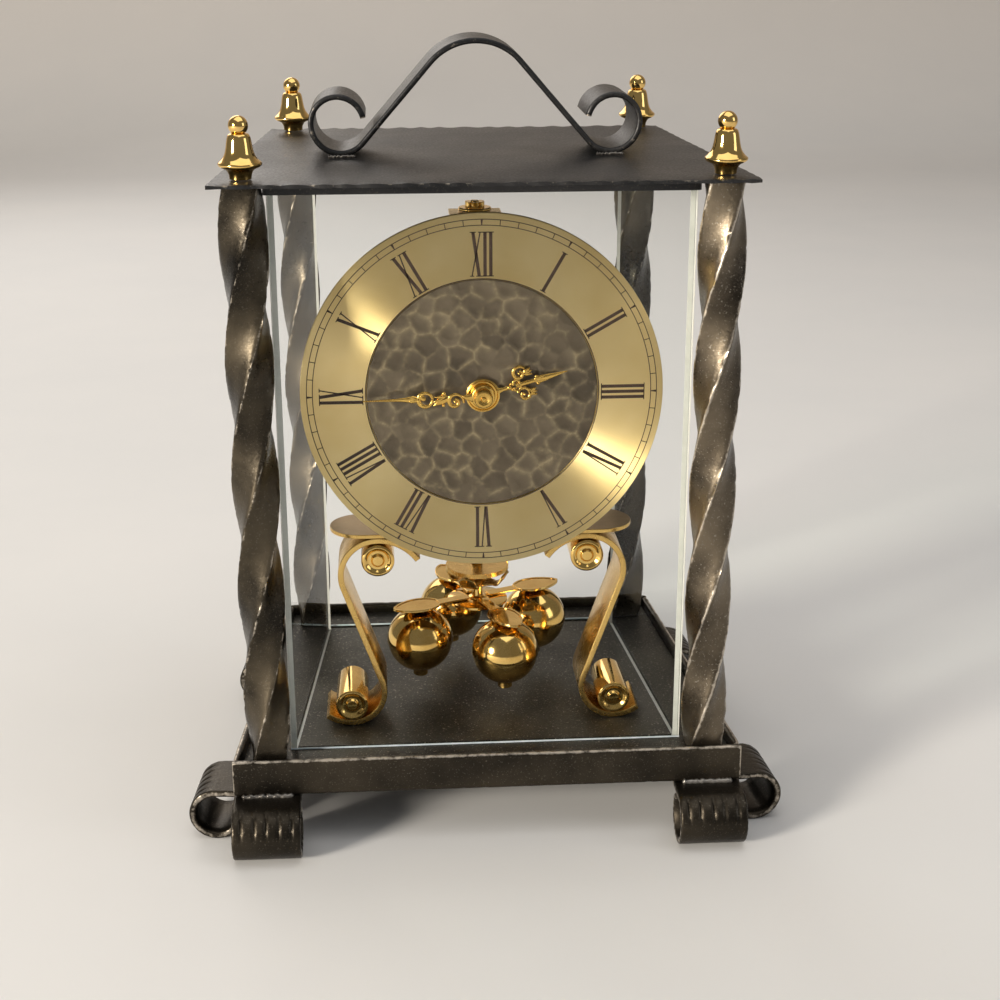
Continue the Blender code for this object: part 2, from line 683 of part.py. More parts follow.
def make_finials(brass):
    """A bell with a ball on top, over each column."""
    neck_angle_deg = -58
    ball_angles_deg = (neck_angle_deg, -20, 20, 58)
    ball_height = FINIAL_HEIGHT - FINIAL_BALL_RADIUS
    bell_shares = [(0.0, 0.0), (0.50, 0.0), (0.42, 0.11), (0.55, 0.15), (0.97, 0.20),
                   (1.0, 0.24), (0.90, 0.29), (0.70, 0.36), (0.58, 0.50), (0.44, 0.62)]
    profile = [(FINIAL_RADIUS * across, FINIAL_HEIGHT * up) for across, up in bell_shares]
    for angle in ball_angles_deg:
        profile.append(polar((0.0, ball_height), FINIAL_BALL_RADIUS, angle))
    profile.append((0.0, FINIAL_HEIGHT))
    first = None
    for corner, x, y in case_corners():
        place = (x, y, TOP_SURFACE + SEAT_GAP)
        if first is None:
            first = make_object("finial_" + corner, turned(profile, FINIAL_SIDES), brass, place)
        else:
            copy_object("finial_" + corner, first, place)


def handle_half_path():
    """The handle's middle line from its crown down one side, out along the top and up in a scroll."""
    slope = math.radians(HANDLE_SLOPE_DEG)
    bend_drop = (HANDLE_CROWN_RADIUS + HANDLE_HEEL_RADIUS) * (1 - math.cos(slope))
    straight = (HANDLE_HEIGHT - HANDLE_THICKNESS - bend_drop) / math.sin(slope)
    path = [(0.0, HANDLE_HEIGHT - HANDLE_THICKNESS / 2)]
    points, heading = arc_points(path[-1], 0, HANDLE_CROWN_RADIUS, -HANDLE_SLOPE_DEG)
    path += points
    path.append(polar(path[-1], straight, heading))
    points, heading = arc_points(path[-1], heading, HANDLE_HEEL_RADIUS, HANDLE_SLOPE_DEG)
    path += points
    points, heading = arc_points(path[-1], heading, HANDLE_HEEL_RADIUS, 90)
    path += points
    return path + arc_points(path[-1], heading, HANDLE_SCROLL_RADIUS, HANDLE_SCROLL_DEG)[0]


def make_handle(iron):
    half = handle_half_path()
    path = [(-x, z) for x, z in reversed(half[1:])] + half
    bm = strip(path, HANDLE_THICKNESS, HANDLE_WIDTH)
    make_object("carry_handle", bm, iron, (0.0, 0.0, TOP_SURFACE + SEAT_GAP))


def make_glass(glass):
    """Four panes that stand in the base groove and run up into the glazing channel."""
    bottom = BASE_TOP - GLASS_BASE_GROOVE + SEAT_GAP
    top = TOP_UNDERSIDE - CHANNEL_HEIGHT + GLASS_TOP_ENTRY
    inside_y = GLASS_HALF_Y - GLASS_THICKNESS
    side_half = inside_y - SEAT_GAP
    panes = [("glass_front", case_outline(-GLASS_HALF_Y, -inside_y, -GLASS_SETBACK)),
             ("glass_rear", case_outline(inside_y, GLASS_HALF_Y, -GLASS_SETBACK)),
             ("glass_left", case_side(side_half, -GLASS_SETBACK, GLASS_THICKNESS, -1)),
             ("glass_right", case_side(side_half, -GLASS_SETBACK, GLASS_THICKNESS, 1))]
    for name, outline in panes:
        make_object(name, sheet([outline], bottom, top, to_xy), glass)


def leg_path():
    """The middle line of the right leg's band, from the curl under the platform to its toe."""
    lean = math.radians(LEG_LEAN_DEG)
    middle_height = LEG_HEIGHT - LEG_THICKNESS
    bends = LEG_HEAD_RADIUS + LEG_FOOT_RADIUS
    straight = (middle_height - bends * (1 + math.sin(lean))) / math.cos(lean)
    turn = 90 + LEG_LEAN_DEG
    toe_up = arc_points((0.0, 0.0), 0, LEG_TOE_RADIUS, LEG_TOE_DEG)[0]
    path = [(0.0, 0.0)]
    points, heading = arc_points(path[-1], 180, LEG_FOOT_RADIUS, -turn)
    path += points
    path.append(polar(path[-1], straight, heading))
    points, heading = arc_points(path[-1], heading, LEG_HEAD_RADIUS, turn)
    path += points
    path += arc_points(path[-1], heading, LEG_CURL_RADIUS, LEG_CURL_DEG)[0]
    path = list(reversed(toe_up)) + path
    return [(x + LEG_FOOT_OFFSET, z + LEG_THICKNESS / 2) for x, z in path]


def leg_head_offset():
    """How far from the middle of the clock the top of each leg's band lies."""
    return max(leg_path(), key=lambda point: point[1])[0]


def make_support(brass, satin_brass):
    """Two S-shaped bands on the base sheet, the platform across them and four turned nuts."""
    z = BASE_TOP + SEAT_GAP
    right = leg_path()
    left = [(-x, height) for x, height in right]
    make_object("support_leg_right", strip(right, LEG_THICKNESS, LEG_WIDTH), satin_brass,
                (0, SUPPORT_Y, z))
    make_object("support_leg_left", strip(left, LEG_THICKNESS, LEG_WIDTH), satin_brass,
                (0, SUPPORT_Y, z))
    half = ROLLER_LENGTH / 2
    ring_shares = (0.34, 0.44, 0.72, 0.84)
    inner, dip_in, dip_out, outer = [ROLLER_RADIUS * share for share in ring_shares]
    dip, edge = half - ROLLER_RING_DEPTH, half - ROLLER_RING_DEPTH / 2
    profile = [(0.0, -half), (inner, -half), (dip_in, -dip), (dip_out, -dip), (outer, -half),
               (ROLLER_RADIUS, -edge), (ROLLER_RADIUS, edge), (outer, half), (0.0, half)]
    seat = LEG_THICKNESS + SEAT_GAP + ROLLER_RADIUS
    low, high = z + seat, z + LEG_HEIGHT - seat
    first = make_object("leg_nut_lower_right", turned(profile, TURNED_SIDES, along_y=True), brass,
                        (LEG_FOOT_OFFSET, SUPPORT_Y, low))
    copy_object("leg_nut_lower_left", first, (-LEG_FOOT_OFFSET, SUPPORT_Y, low))
    copy_object("leg_nut_upper_right", first, (leg_head_offset(), SUPPORT_Y, high))
    copy_object("leg_nut_upper_left", first, (-leg_head_offset(), SUPPORT_Y, high))
    straight = PLATFORM_LENGTH / 2 - PLATFORM_END
    end = [(straight + PLATFORM_END * math.cos(math.radians(angle)),
            PLATFORM_DEPTH / 2 * math.sin(math.radians(angle)))
           for angle in range(-90, 91, ARC_STEP_DEG)]
    outline = end + [(-x, -y) for x, y in end]
    bm = sheet([outline], PLATFORM_BOTTOM, PLATFORM_TOP, to_xy)
    make_object("platform", bm, satin_brass, (0, SUPPORT_Y, 0))


def movement_outline():
    half_height = (MOVEMENT_TOP - MOVEMENT_BOTTOM) / 2
    return rounded_rectangle(MOVEMENT_WIDTH / 2, half_height, MOVEMENT_CORNER,
                             (0.0, MOVEMENT_BOTTOM + half_height))


def pivot_holes(radius):
    places = (SECOND_PLACE, THIRD_PLACE, FOURTH_PLACE, ESCAPE_PLACE, ANCHOR_PLACE)
    return [circle(radius, SMALL_SIDES, place) for place in places]


def make_movement_plates(brass):
    """Front plate, and back plate with its four riveted pillars."""
    pivot_hole = PIVOT_RADIUS + RUNNING_GAP
    arbor_hole = ARBOR_RADIUS + RUNNING_GAP
    barrel_hole = BARREL_ARBOR_RADIUS + RUNNING_GAP
    front_loops = [movement_outline(), circle(arbor_hole, SMALL_SIDES, DIAL_CENTRE),
                   circle(barrel_hole, TURNED_SIDES, BARREL_PLACE)] + pivot_holes(pivot_hole)
    bm = sheet(front_loops, FRONT_PLATE_FRONT, FRONT_PLATE_BACK, to_xz)
    make_object("movement_front_plate", bm, brass)
    back_loops = [movement_outline(), circle(pivot_hole, SMALL_SIDES, DIAL_CENTRE),
                  circle(barrel_hole, TURNED_SIDES, BARREL_PLACE)] + pivot_holes(pivot_hole)
    bm = sheet(back_loops, BACK_PLATE_FRONT, BACK_PLATE_BACK, to_xz)
    back = make_object("movement_back_plate", bm, brass)
    rivet = MOVEMENT_PLATE_THICKNESS / 2
    pillar = [(PILLAR_RADIUS, FRONT_PLATE_BACK + SEAT_GAP), (PILLAR_RADIUS, BACK_PLATE_FRONT + rivet)]
    x = MOVEMENT_WIDTH / 2 - PILLAR_INSET
    for z in (MOVEMENT_BOTTOM + PILLAR_INSET, MOVEMENT_TOP - PILLAR_INSET):
        for side in (-x, x):
            bm = turned(pillar, SMALL_SIDES, along_y=True)
            join(back, tool_object(bm, (side, 0, z)))


def toothed_outline(teeth, module, phase, tip_share=0.0):
    """A wheel's or pinion's edge, with a tooth at the angle phase. Wheel teeth end in a point."""
    pitch_radius = module * teeth / 2
    tip = pitch_radius + module * TOOTH_ADDENDUM_SHARE
    root = pitch_radius - module * TOOTH_DEDENDUM_SHARE
    pitch = 2 * math.pi / teeth
    points = []
    for i in range(teeth):
        middle = phase + pitch * i
        tips = ((tip, -tip_share / 2), (tip, tip_share / 2)) if tip_share else ((tip, 0),)
        for radius, offset in (*tips, (root, 0.5)):
            angle = middle + pitch * offset
            points.append((radius * math.cos(angle), radius * math.sin(angle)))
    return points


def saw_outline(teeth, radius, depth, lean):
    """Pointed teeth that all lean one way, as on escape and ratchet wheels."""
    points = []
    for i in range(teeth):
        angle = 2 * math.pi * i / teeth
        points.append(polar((0, 0), radius - depth, math.degrees(angle)))
        points.append(polar((0, 0), radius, math.degrees(angle + lean * 2 * math.pi / teeth)))
    return points


def crossing_loops(rim_radius):
    """The openings between a wheel's arms, inside its rim."""
    loops = []
    outer_half = math.asin(WHEEL_ARM_WIDTH / 2 / rim_radius)
    inner = WHEEL_HUB_RADIUS
    inner_half = math.asin(WHEEL_ARM_WIDTH / 2 / inner)
    sector = 2 * math.pi / WHEEL_ARMS
    points_across = 4
    for arm in range(WHEEL_ARMS):
        start = sector * arm
        loop = []
        for i in range(points_across):
            share = i / (points_across - 1)
            angle = start + outer_half + (sector - 2 * outer_half) * share
            loop.append((rim_radius * math.cos(angle), rim_radius * math.sin(angle)))
        for angle in (start + sector - inner_half, start + inner_half):
            loop.append((inner * math.cos(angle), inner * math.sin(angle)))
        loops.append(loop)
    return loops


def wheel_tool(teeth, module, phase, y):
    """A crossed-out wheel at a level along its arbor."""
    rim = module * teeth / 2 - WHEEL_RIM
    loops = [toothed_outline(teeth, module, phase)] + crossing_loops(rim)
    return tool_object(sheet(loops, y - WHEEL_THICKNESS / 2, y + WHEEL_THICKNESS / 2, to_xz))


def pinion_tool(leaves, module, phase, y):
    outline = toothed_outline(leaves, module, phase, LEAF_TIP_SHARE)
    return tool_object(sheet([outline], y - PINION_LENGTH / 2, y + PINION_LENGTH / 2, to_xz))


def arbor_profile(front, back):
    """An arbor between two ends, with thinner pivots that run in the movement plates."""
    shoulder_front = FRONT_PLATE_BACK + PIVOT_SHOULDER
    shoulder_back = BACK_PLATE_FRONT - PIVOT_SHOULDER
    return [(PIVOT_RADIUS, front), (PIVOT_RADIUS, shoulder_front), (ARBOR_RADIUS, shoulder_front),
            (ARBOR_RADIUS, shoulder_back), (PIVOT_RADIUS, shoulder_back), (PIVOT_RADIUS, back)]


def make_arbor(name, place, material, front=FRONT_PLATE_FRONT, back=BACK_PLATE_BACK):
    profile = arbor_profile(front, back)
    bm = turned(profile, SMALL_SIDES, along_y=True)
    return make_object(name, bm, material, (place[0], 0, place[1]))


def mesh_at(item, *tools):
    """Joins wheels and pinions to their arbor, all built about the arbor's own axis."""
    for tool in tools:
        tool.location = item.location
    join(item, *tools)


def make_train(brass, steel):
    """Second, third, centre, fourth and escape wheels, each on its arbor with its pinion."""
    second_y, third_y = level(SECOND_LEVEL_SHARE), level(THIRD_LEVEL_SHARE)
    centre_y, fourth_y = level(CENTRE_LEVEL_SHARE), level(FOURTH_LEVEL_SHARE)
    great_y = level(GREAT_LEVEL_SHARE)
    leaf_gap, fast_gap = math.pi / TRAIN_LEAVES, math.pi / FAST_LEAVES

    second = make_arbor("second_wheel", SECOND_PLACE, brass)
    mesh_at(second,
            pinion_tool(TRAIN_LEAVES, GREAT_MODULE,
                        angle_between(SECOND_PLACE, BARREL_PLACE) + leaf_gap, great_y),
            wheel_tool(TRAIN_TEETH, TRAIN_MODULE, angle_between(SECOND_PLACE, THIRD_PLACE),
                       second_y))
    third = make_arbor("third_wheel", THIRD_PLACE, brass)
    mesh_at(third,
            pinion_tool(TRAIN_LEAVES, TRAIN_MODULE,
                        angle_between(THIRD_PLACE, SECOND_PLACE) + leaf_gap, second_y),
            wheel_tool(TRAIN_TEETH, TRAIN_MODULE, angle_between(THIRD_PLACE, DIAL_CENTRE),
                       third_y))
    fourth = make_arbor("fourth_wheel", FOURTH_PLACE, brass)
    mesh_at(fourth,
            pinion_tool(FAST_LEAVES, CENTRE_MODULE,
                        angle_between(FOURTH_PLACE, DIAL_CENTRE) + fast_gap, centre_y),
            wheel_tool(FOURTH_TEETH, FOURTH_MODULE, angle_between(FOURTH_PLACE, ESCAPE_PLACE),
                       fourth_y))
    make_centre_wheel(brass, centre_y, third_y, leaf_gap)
    escape = make_arbor("escape_wheel", ESCAPE_PLACE, steel)
    escape_y = level(ESCAPE_LEVEL_SHARE)
    lean_share = 0.35
    saw = [saw_outline(ESCAPE_TEETH, ESCAPE_RADIUS, ESCAPE_TOOTH_DEPTH, lean_share)]
    saw += crossing_loops(ESCAPE_RADIUS - ESCAPE_TOOTH_DEPTH - WHEEL_RIM / 2)
    escape_disc = sheet(saw, escape_y - WHEEL_THICKNESS / 2, escape_y + WHEEL_THICKNESS / 2, to_xz)
    mesh_at(escape,
            pinion_tool(FAST_LEAVES, FOURTH_MODULE,
                        angle_between(ESCAPE_PLACE, FOURTH_PLACE) + fast_gap, fourth_y),
            tool_object(escape_disc))


def cannon_front():
    """The front end of the cannon pinion's pipe, just past the minute hand."""
    return minute_hand_y() - HAND_THICKNESS / 2 - SEAT_GAP


def make_centre_wheel(brass, centre_y, third_y, leaf_gap):
    """Centre arbor with its wheel and pinion, and the cannon pinion pressed on its front end."""
    plate_gap = FRONT_PLATE_FRONT - SEAT_GAP
    shoulder_back = BACK_PLATE_FRONT - PIVOT_SHOULDER
    profile = [(CANNON_RADIUS, cannon_front()), (CANNON_RADIUS, plate_gap),
               (ARBOR_RADIUS, plate_gap), (ARBOR_RADIUS, shoulder_back),
               (PIVOT_RADIUS, shoulder_back), (PIVOT_RADIUS, BACK_PLATE_BACK)]
    centre = make_object("centre_wheel", turned(profile, SMALL_SIDES, along_y=True), brass,
                         (DIAL_CENTRE[0], 0, DIAL_CENTRE[1]))
    cannon_y = plate_gap - WHEEL_THICKNESS / 2
    cannon = sheet([toothed_outline(CANNON_LEAVES, MOTION_MODULE,
                                    angle_between(DIAL_CENTRE, MINUTE_PLACE), LEAF_TIP_SHARE)],
                   cannon_y - WHEEL_THICKNESS / 2, cannon_y + WHEEL_THICKNESS / 2, to_xz)
    mesh_at(centre,
            pinion_tool(TRAIN_LEAVES, TRAIN_MODULE,
                        angle_between(DIAL_CENTRE, THIRD_PLACE) + leaf_gap, third_y),
            wheel_tool(CENTRE_TEETH, CENTRE_MODULE, angle_between(DIAL_CENTRE, FOURTH_PLACE),
                       centre_y),
            tool_object(cannon))


def make_barrel(brass, steel):
    """Mainspring barrel with its great wheel, and the winding arbor with its ratchet wheel."""
    great_y = level(GREAT_LEVEL_SHARE)
    drum_back = great_y + WHEEL_THICKNESS / 2 - SEAT_GAP
    drum_front = drum_back - BARREL_LENGTH
    hub_back = great_y + WHEEL_THICKNESS / 2 + SEAT_GAP
    bore = BARREL_ARBOR_RADIUS + RUNNING_GAP
    profile = [(bore, drum_front), (BARREL_RADIUS, drum_front), (BARREL_RADIUS, drum_back),
               (BARREL_HUB_RADIUS, drum_back), (BARREL_HUB_RADIUS, hub_back), (bore, hub_back)]
    bm = turned(profile, DRUM_SIDES, along_y=True, ring=True)
    barrel = make_object("mainspring_barrel", bm, brass, (BARREL_PLACE[0], 0, BARREL_PLACE[1]))
    loops = [toothed_outline(GREAT_TEETH, GREAT_MODULE, angle_between(BARREL_PLACE, SECOND_PLACE)),
             circle((bore + BARREL_HUB_RADIUS) / 2, TURNED_SIDES)]
    great = sheet(loops, great_y - WHEEL_THICKNESS / 2, great_y + WHEEL_THICKNESS / 2, to_xz)
    mesh_at(barrel, tool_object(great))

    ratchet_front = BACK_PLATE_BACK + SEAT_GAP
    ratchet_back = ratchet_front + WHEEL_THICKNESS
    profile = [(BARREL_ARBOR_RADIUS, FRONT_PLATE_FRONT), (BARREL_ARBOR_RADIUS, ratchet_back)]
    arbor = make_object("winding_arbor", turned(profile, TURNED_SIDES, along_y=True), steel,
                        (BARREL_PLACE[0], 0, BARREL_PLACE[1]))
    lean_share = 0.8
    ratchet = sheet([saw_outline(RATCHET_TEETH, RATCHET_RADIUS, RATCHET_TOOTH_DEPTH, lean_share)],
                    ratchet_front, ratchet_back, to_xz)
    square = sheet([rectangle(WINDING_SQUARE / 2, WINDING_SQUARE / 2)],
                   ratchet_back - SEAT_GAP, ratchet_back + WINDING_LENGTH, to_xz)
    mesh_at(arbor, tool_object(ratchet), tool_object(square))


def make_anchor(steel):
    """Recoil anchor over the escape wheel, with the pin that the crutch fork holds."""
    y = level(ESCAPE_LEVEL_SHARE)
    hub = ANCHOR_HUB_RADIUS
    right_shares = [(0.30, 0.22), (1.05, -0.62), (1.06, -1.08), (0.92, -0.98),
                    (0.88, -0.72), (0.22, -0.24)]
    right = [(ANCHOR_SPAN * across, ANCHOR_DROP * up) for across, up in right_shares]
    left = [(-x, z) for x, z in reversed(right)]
    outline = [(0.0, hub)] + right + [(0.0, -hub)] + left
    anchor = make_arbor("anchor", ANCHOR_PLACE, steel)
    arms = sheet([outline], y - ANCHOR_THICKNESS / 2, y + ANCHOR_THICKNESS / 2, to_xz)
    pin_top = FORK_RISE + ANCHOR_PIN_REACH
    pin = turned([(ANCHOR_PIN_RADIUS, 0.0), (ANCHOR_PIN_RADIUS, pin_top)], SMALL_SIDES)
    bmesh.ops.translate(pin, verts=pin.verts, vec=(0, y, 0))
    mesh_at(anchor, tool_object(arms), tool_object(pin))


def make_fork(brass):
    """Crutch fork: its collar sits round the suspension spring and its prongs hold the anchor pin."""
    pin_y = level(ESCAPE_LEVEL_SHARE)
    slot = ANCHOR_PIN_RADIUS + FORK_SLOT_CLEARANCE
    prong_out = slot + FORK_PRONG_WIDTH
    prong_end = pin_y - FORK_PRONG_LENGTH / 2
    root = pin_y + FORK_PRONG_LENGTH / 2
    bar = FORK_PRONG_WIDTH
    collar = circle(FORK_COLLAR_RADIUS, SMALL_SIDES)
    bore = math.hypot(SPRING_WIDTH, SPRING_THICKNESS) / 2 + RUNNING_GAP
    low = ANCHOR_PLACE[1] + FORK_RISE - FORK_THICKNESS / 2
    high = low + FORK_THICKNESS
    fork = make_object("suspension_fork", sheet([collar, circle(bore, SMALL_SIDES)], low, high,
                                                to_xy), brass)
    outline = [(-bar, -FORK_COLLAR_RADIUS * 0.7), (-bar, root + FORK_PRONG_WIDTH),
               (-prong_out, root), (-prong_out, prong_end), (-slot, prong_end), (-slot, root),
               (slot, root), (slot, prong_end), (prong_out, prong_end), (prong_out, root),
               (bar, root + FORK_PRONG_WIDTH), (bar, -FORK_COLLAR_RADIUS * 0.7)]
    join(fork, tool_object(sheet([outline], low + FORK_THICKNESS * 0.1, high - FORK_THICKNESS * 0.1,
                                 to_xy)))


def make_motion_work(brass):
    """Minute wheel with its pinion, and hour wheel with the pipe that carries the hour hand."""
    first_y = FRONT_PLATE_FRONT - SEAT_GAP - WHEEL_THICKNESS / 2
    second_y = first_y - WHEEL_THICKNESS - SEAT_GAP
    stud = [(ARBOR_RADIUS, second_y - WHEEL_THICKNESS / 2 - SEAT_GAP),
            (ARBOR_RADIUS, FRONT_PLATE_FRONT - SEAT_GAP / 2)]
    minute = make_object("minute_wheel", turned(stud, SMALL_SIDES, along_y=True), brass,
                         (MINUTE_PLACE[0], 0, MINUTE_PLACE[1]))
    minute_gap = math.pi / MINUTE_TEETH
    towards = angle_between(MINUTE_PLACE, DIAL_CENTRE)
    wheel_loops = [toothed_outline(MINUTE_TEETH, MOTION_MODULE, towards + minute_gap)]
    wheel_loops += crossing_loops(MOTION_MODULE * MINUTE_TEETH / 2 - WHEEL_RIM)
    wheel = sheet(wheel_loops, first_y - WHEEL_THICKNESS / 2, first_y + WHEEL_THICKNESS / 2, to_xz)
    leaves = sheet([toothed_outline(MINUTE_LEAVES, HOUR_MODULE, towards, LEAF_TIP_SHARE)],
                   second_y - WHEEL_THICKNESS / 2, first_y, to_xz)
    mesh_at(minute, tool_object(wheel), tool_object(leaves))

    pipe_in = CANNON_RADIUS + RUNNING_GAP
    pipe_out = pipe_in + HOUR_PIPE_WALL
    pipe_front = hour_hand_y() - HAND_THICKNESS / 2 - SEAT_GAP
    pipe_back = second_y + WHEEL_THICKNESS / 2 + SEAT_GAP / 2
    profile = [(pipe_in, pipe_front), (pipe_out, pipe_front), (pipe_out, pipe_back),
               (pipe_in, pipe_back)]
    hour = make_object("hour_wheel", turned(profile, TURNED_SIDES, along_y=True, ring=True), brass,
                       (DIAL_CENTRE[0], 0, DIAL_CENTRE[1]))
    hour_gap = math.pi / HOUR_TEETH
    loops = [toothed_outline(HOUR_TEETH, HOUR_MODULE,
                             angle_between(DIAL_CENTRE, MINUTE_PLACE) + hour_gap),
             circle((pipe_in + pipe_out) / 2, TURNED_SIDES)]
    disc = sheet(loops, second_y - WHEEL_THICKNESS / 2, second_y + WHEEL_THICKNESS / 2, to_xz)
    mesh_at(hour, tool_object(disc))


def make_dial(satin_brass, pewter):
    """Dial plate with a sunk centre for the hammered disc, on four feet."""
    recess_floor = DIAL_FRONT + DIAL_RECESS
    rim = DIAL_CENTRE_RADIUS + SEAT_GAP
    profile = [(DIAL_BORE, recess_floor), (rim, recess_floor), (rim, DIAL_FRONT),
               (DIAL_RADIUS, DIAL_FRONT), (DIAL_RADIUS, DIAL_BACK), (DIAL_BORE, DIAL_BACK)]
    place = (DIAL_CENTRE[0], 0, DIAL_CENTRE[1])
    dial = make_object("dial_plate", turned(profile, DIAL_SIDES, along_y=True, ring=True),
                       satin_brass, place)
    foot = [(DIAL_FOOT_RADIUS, DIAL_BACK - DIAL_THICKNESS * 0.2),
            (DIAL_FOOT_RADIUS, FRONT_PLATE_FRONT - SEAT_GAP)]
    for x in (-DIAL_FOOT_OFFSET, DIAL_FOOT_OFFSET):
        for z in (-DIAL_FOOT_OFFSET, DIAL_FOOT_OFFSET):
            bm = turned(foot, SMALL_SIDES, along_y=True)
            join(dial, tool_object(bm, (place[0] + x, 0, place[2] + z)))
    disc_back = recess_floor - SEAT_GAP
    profile = [(DIAL_BORE, disc_back - DIAL_CENTRE_THICKNESS),
               (DIAL_CENTRE_RADIUS, disc_back - DIAL_CENTRE_THICKNESS),
               (DIAL_CENTRE_RADIUS, disc_back), (DIAL_BORE, disc_back)]
    make_object("dial_centre", turned(profile, DIAL_SIDES, along_y=True, ring=True), pewter, place)


def hour_hand_y():
    return DIAL_FRONT - HOUR_HAND_STANDOFF


def minute_hand_y():
    return hour_hand_y() - HAND_SPACING


def hand_ring(radius, hole, x, z):
    """One of the open loops in a hand, slightly thicker than its bar."""
    sides = SMALL_SIDES
    half = HAND_THICKNESS * 0.55
    bm = sheet([circle(radius, sides, (x, z)), circle(hole, sides, (x, z))], -half, half, to_xz)
    return bm


def hand_bar(points_shares, length):
    """A bar along a hand, from pairs of share of the length and share of the bar's width."""
    right = [(HAND_BAR_WIDTH / 2 * width, length * along) for along, width in points_shares]
    left = [(-x, z) for x, z in reversed(right)]
    half = HAND_THICKNESS / 2
    return sheet([right + left], -half, half, to_xz)


def make_hand(name, y, length, angle_deg, bar_shares, rings, boss_radius, boss_depth, bore, gold):
    """A pierced hand: a boss round its pipe, a shaped bar and a few open loops."""
    half = boss_depth / 2
    boss = [(bore, -half), (boss_radius * 0.8, -half), (boss_radius, 0.0), (boss_radius, half),
            (bore, half)]
    turn = (0.0, math.radians(angle_deg), 0.0)
    place = (DIAL_CENTRE[0], y, DIAL_CENTRE[1])
    hand = make_object(name, turned(boss, TURNED_SIDES, along_y=True, ring=True), gold, place, turn)
    join(hand, tool_object(hand_bar(bar_shares, length), place, turn))
    for radius_share, hole_share, x_share, z_share in rings:
        bm = hand_ring(length * radius_share, length * hole_share, length * x_share,
                       length * z_share)
        join(hand, tool_object(bm, place, turn))


def make_hands(gold):
    tip = HAND_TIP_WIDTH / HAND_BAR_WIDTH
    hour_start = (CANNON_RADIUS + 2 * RUNNING_GAP + HOUR_PIPE_WALL + HAND_THICKNESS)
    hour_bar = [(hour_start / HOUR_HAND_LENGTH, 1.0), (0.27, 0.8), (0.33, 1.9), (0.40, 0.9),
                (0.55, 0.9), (0.64, 2.2), (0.70, 1.0), (1.0, tip)]
    hour_rings = [(0.100, 0.060, 0.115, 0.45), (0.100, 0.060, -0.115, 0.45)]
    hour_bore = CANNON_RADIUS + 2 * RUNNING_GAP + HOUR_PIPE_WALL
    make_hand("hour_hand", hour_hand_y(), HOUR_HAND_LENGTH, HOUR_HAND_DEG, hour_bar, hour_rings,
              HOUR_COLLAR_RADIUS, HAND_THICKNESS * 2, hour_bore, gold)
    minute_start = CANNON_RADIUS + RUNNING_GAP + HAND_THICKNESS
    minute_bar = [(minute_start / MINUTE_HAND_LENGTH, 1.0), (0.17, 0.7), (0.33, 0.7),
                  (0.40, 2.4), (0.47, 0.8), (0.58, 0.8), (0.64, 1.5), (1.0, tip)]
    minute_rings = [(0.062, 0.036, 0.022, 0.245), (0.050, 0.028, -0.016, 0.520)]
    minute_bore = CANNON_RADIUS + RUNNING_GAP
    make_hand("minute_hand", minute_hand_y(), MINUTE_HAND_LENGTH, MINUTE_HAND_DEG, minute_bar,
              minute_rings, MINUTE_BOSS_RADIUS, HAND_THICKNESS * 1.5, minute_bore, gold)


def make_suspension(brass, steel):
    """Bracket behind the back plate, beat-setting nut on it, and the spring below."""
    front = BACK_PLATE_BACK + SEAT_GAP
    back = front + BRACKET_THICKNESS
    low, high = MOVEMENT_TOP - BRACKET_LOW, TABLE_TOP
    table = TABLE_UNDERSIDE
    half = BRACKET_WIDTH / 2
    bm = sheet([rectangle(half, (high - low) / 2, (0.0, (low + high) / 2))], front, back, to_xz)
    bracket = make_object("suspension_bracket", bm, brass)
    stem_hole = BEAT_STEM_RADIUS + RUNNING_GAP
    reach = (BRACKET_REACH - front) / 2 - SEAT_GAP / 2
    table_middle = BRACKET_REACH - reach
    loops = [rectangle(half - SEAT_GAP, reach, (0.0, table_middle)), circle(stem_hole, SMALL_SIDES)]
    join(bracket, tool_object(sheet(loops, table, high - SEAT_GAP / 3, to_xy)))
    window_top = table - BRACKET_THICKNESS
    window = sheet([rectangle(BRACKET_WINDOW_WIDTH / 2, BRACKET_WINDOW_HEIGHT / 2,
                              (0.0, window_top - BRACKET_WINDOW_HEIGHT / 2))],
                   front - CUT_OVERRUN, back + CUT_OVERRUN, to_xz)
    combine(bracket, tool_object(window), "DIFFERENCE")

    washer = high + SEAT_GAP
    nut = washer + BEAT_WASHER_THICKNESS
    stem_low = table - BEAT_STEM_DROP
    profile = [(BEAT_STEM_RADIUS, stem_low), (BEAT_STEM_RADIUS, washer),
               (BEAT_WASHER_RADIUS, washer), (BEAT_WASHER_RADIUS, nut), (0.0, nut)]
    item = make_object("beat_setting_nut", turned(profile, TURNED_SIDES), brass)
    outline = []
    step = 2 * math.pi / BEAT_NUT_NOTCHES
    notch_shares = ((-0.38, 0.0), (0.38, 0.0), (0.42, 1.0), (0.58, 1.0))
    for i in range(BEAT_NUT_NOTCHES):
        for share, dent in notch_shares:
            radius = BEAT_NUT_RADIUS - BEAT_NUT_NOTCH_DEPTH * dent
            outline.append(polar((0, 0), radius, math.degrees(step * (i + share))))
    join(item, tool_object(sheet([outline], nut - SEAT_GAP, nut + BEAT_NUT_HEIGHT, to_xy)))

    block_low = BASE_TOP + HUB_HEIGHT + SEAT_GAP
    block_middle = block_low + SPRING_BLOCK_HEIGHT / 2
    size = (SPRING_BLOCK_WIDTH, SPRING_BLOCK_THICKNESS, SPRING_BLOCK_HEIGHT)
    spring = make_object("suspension_spring", box(size, (0, 0, block_middle)), steel)
    strip_low = block_middle
    strip_size = (SPRING_WIDTH, SPRING_THICKNESS, SPRING_TOP - strip_low)
    join(spring, tool_object(box(strip_size, (0, 0, (strip_low + SPRING_TOP) / 2))))


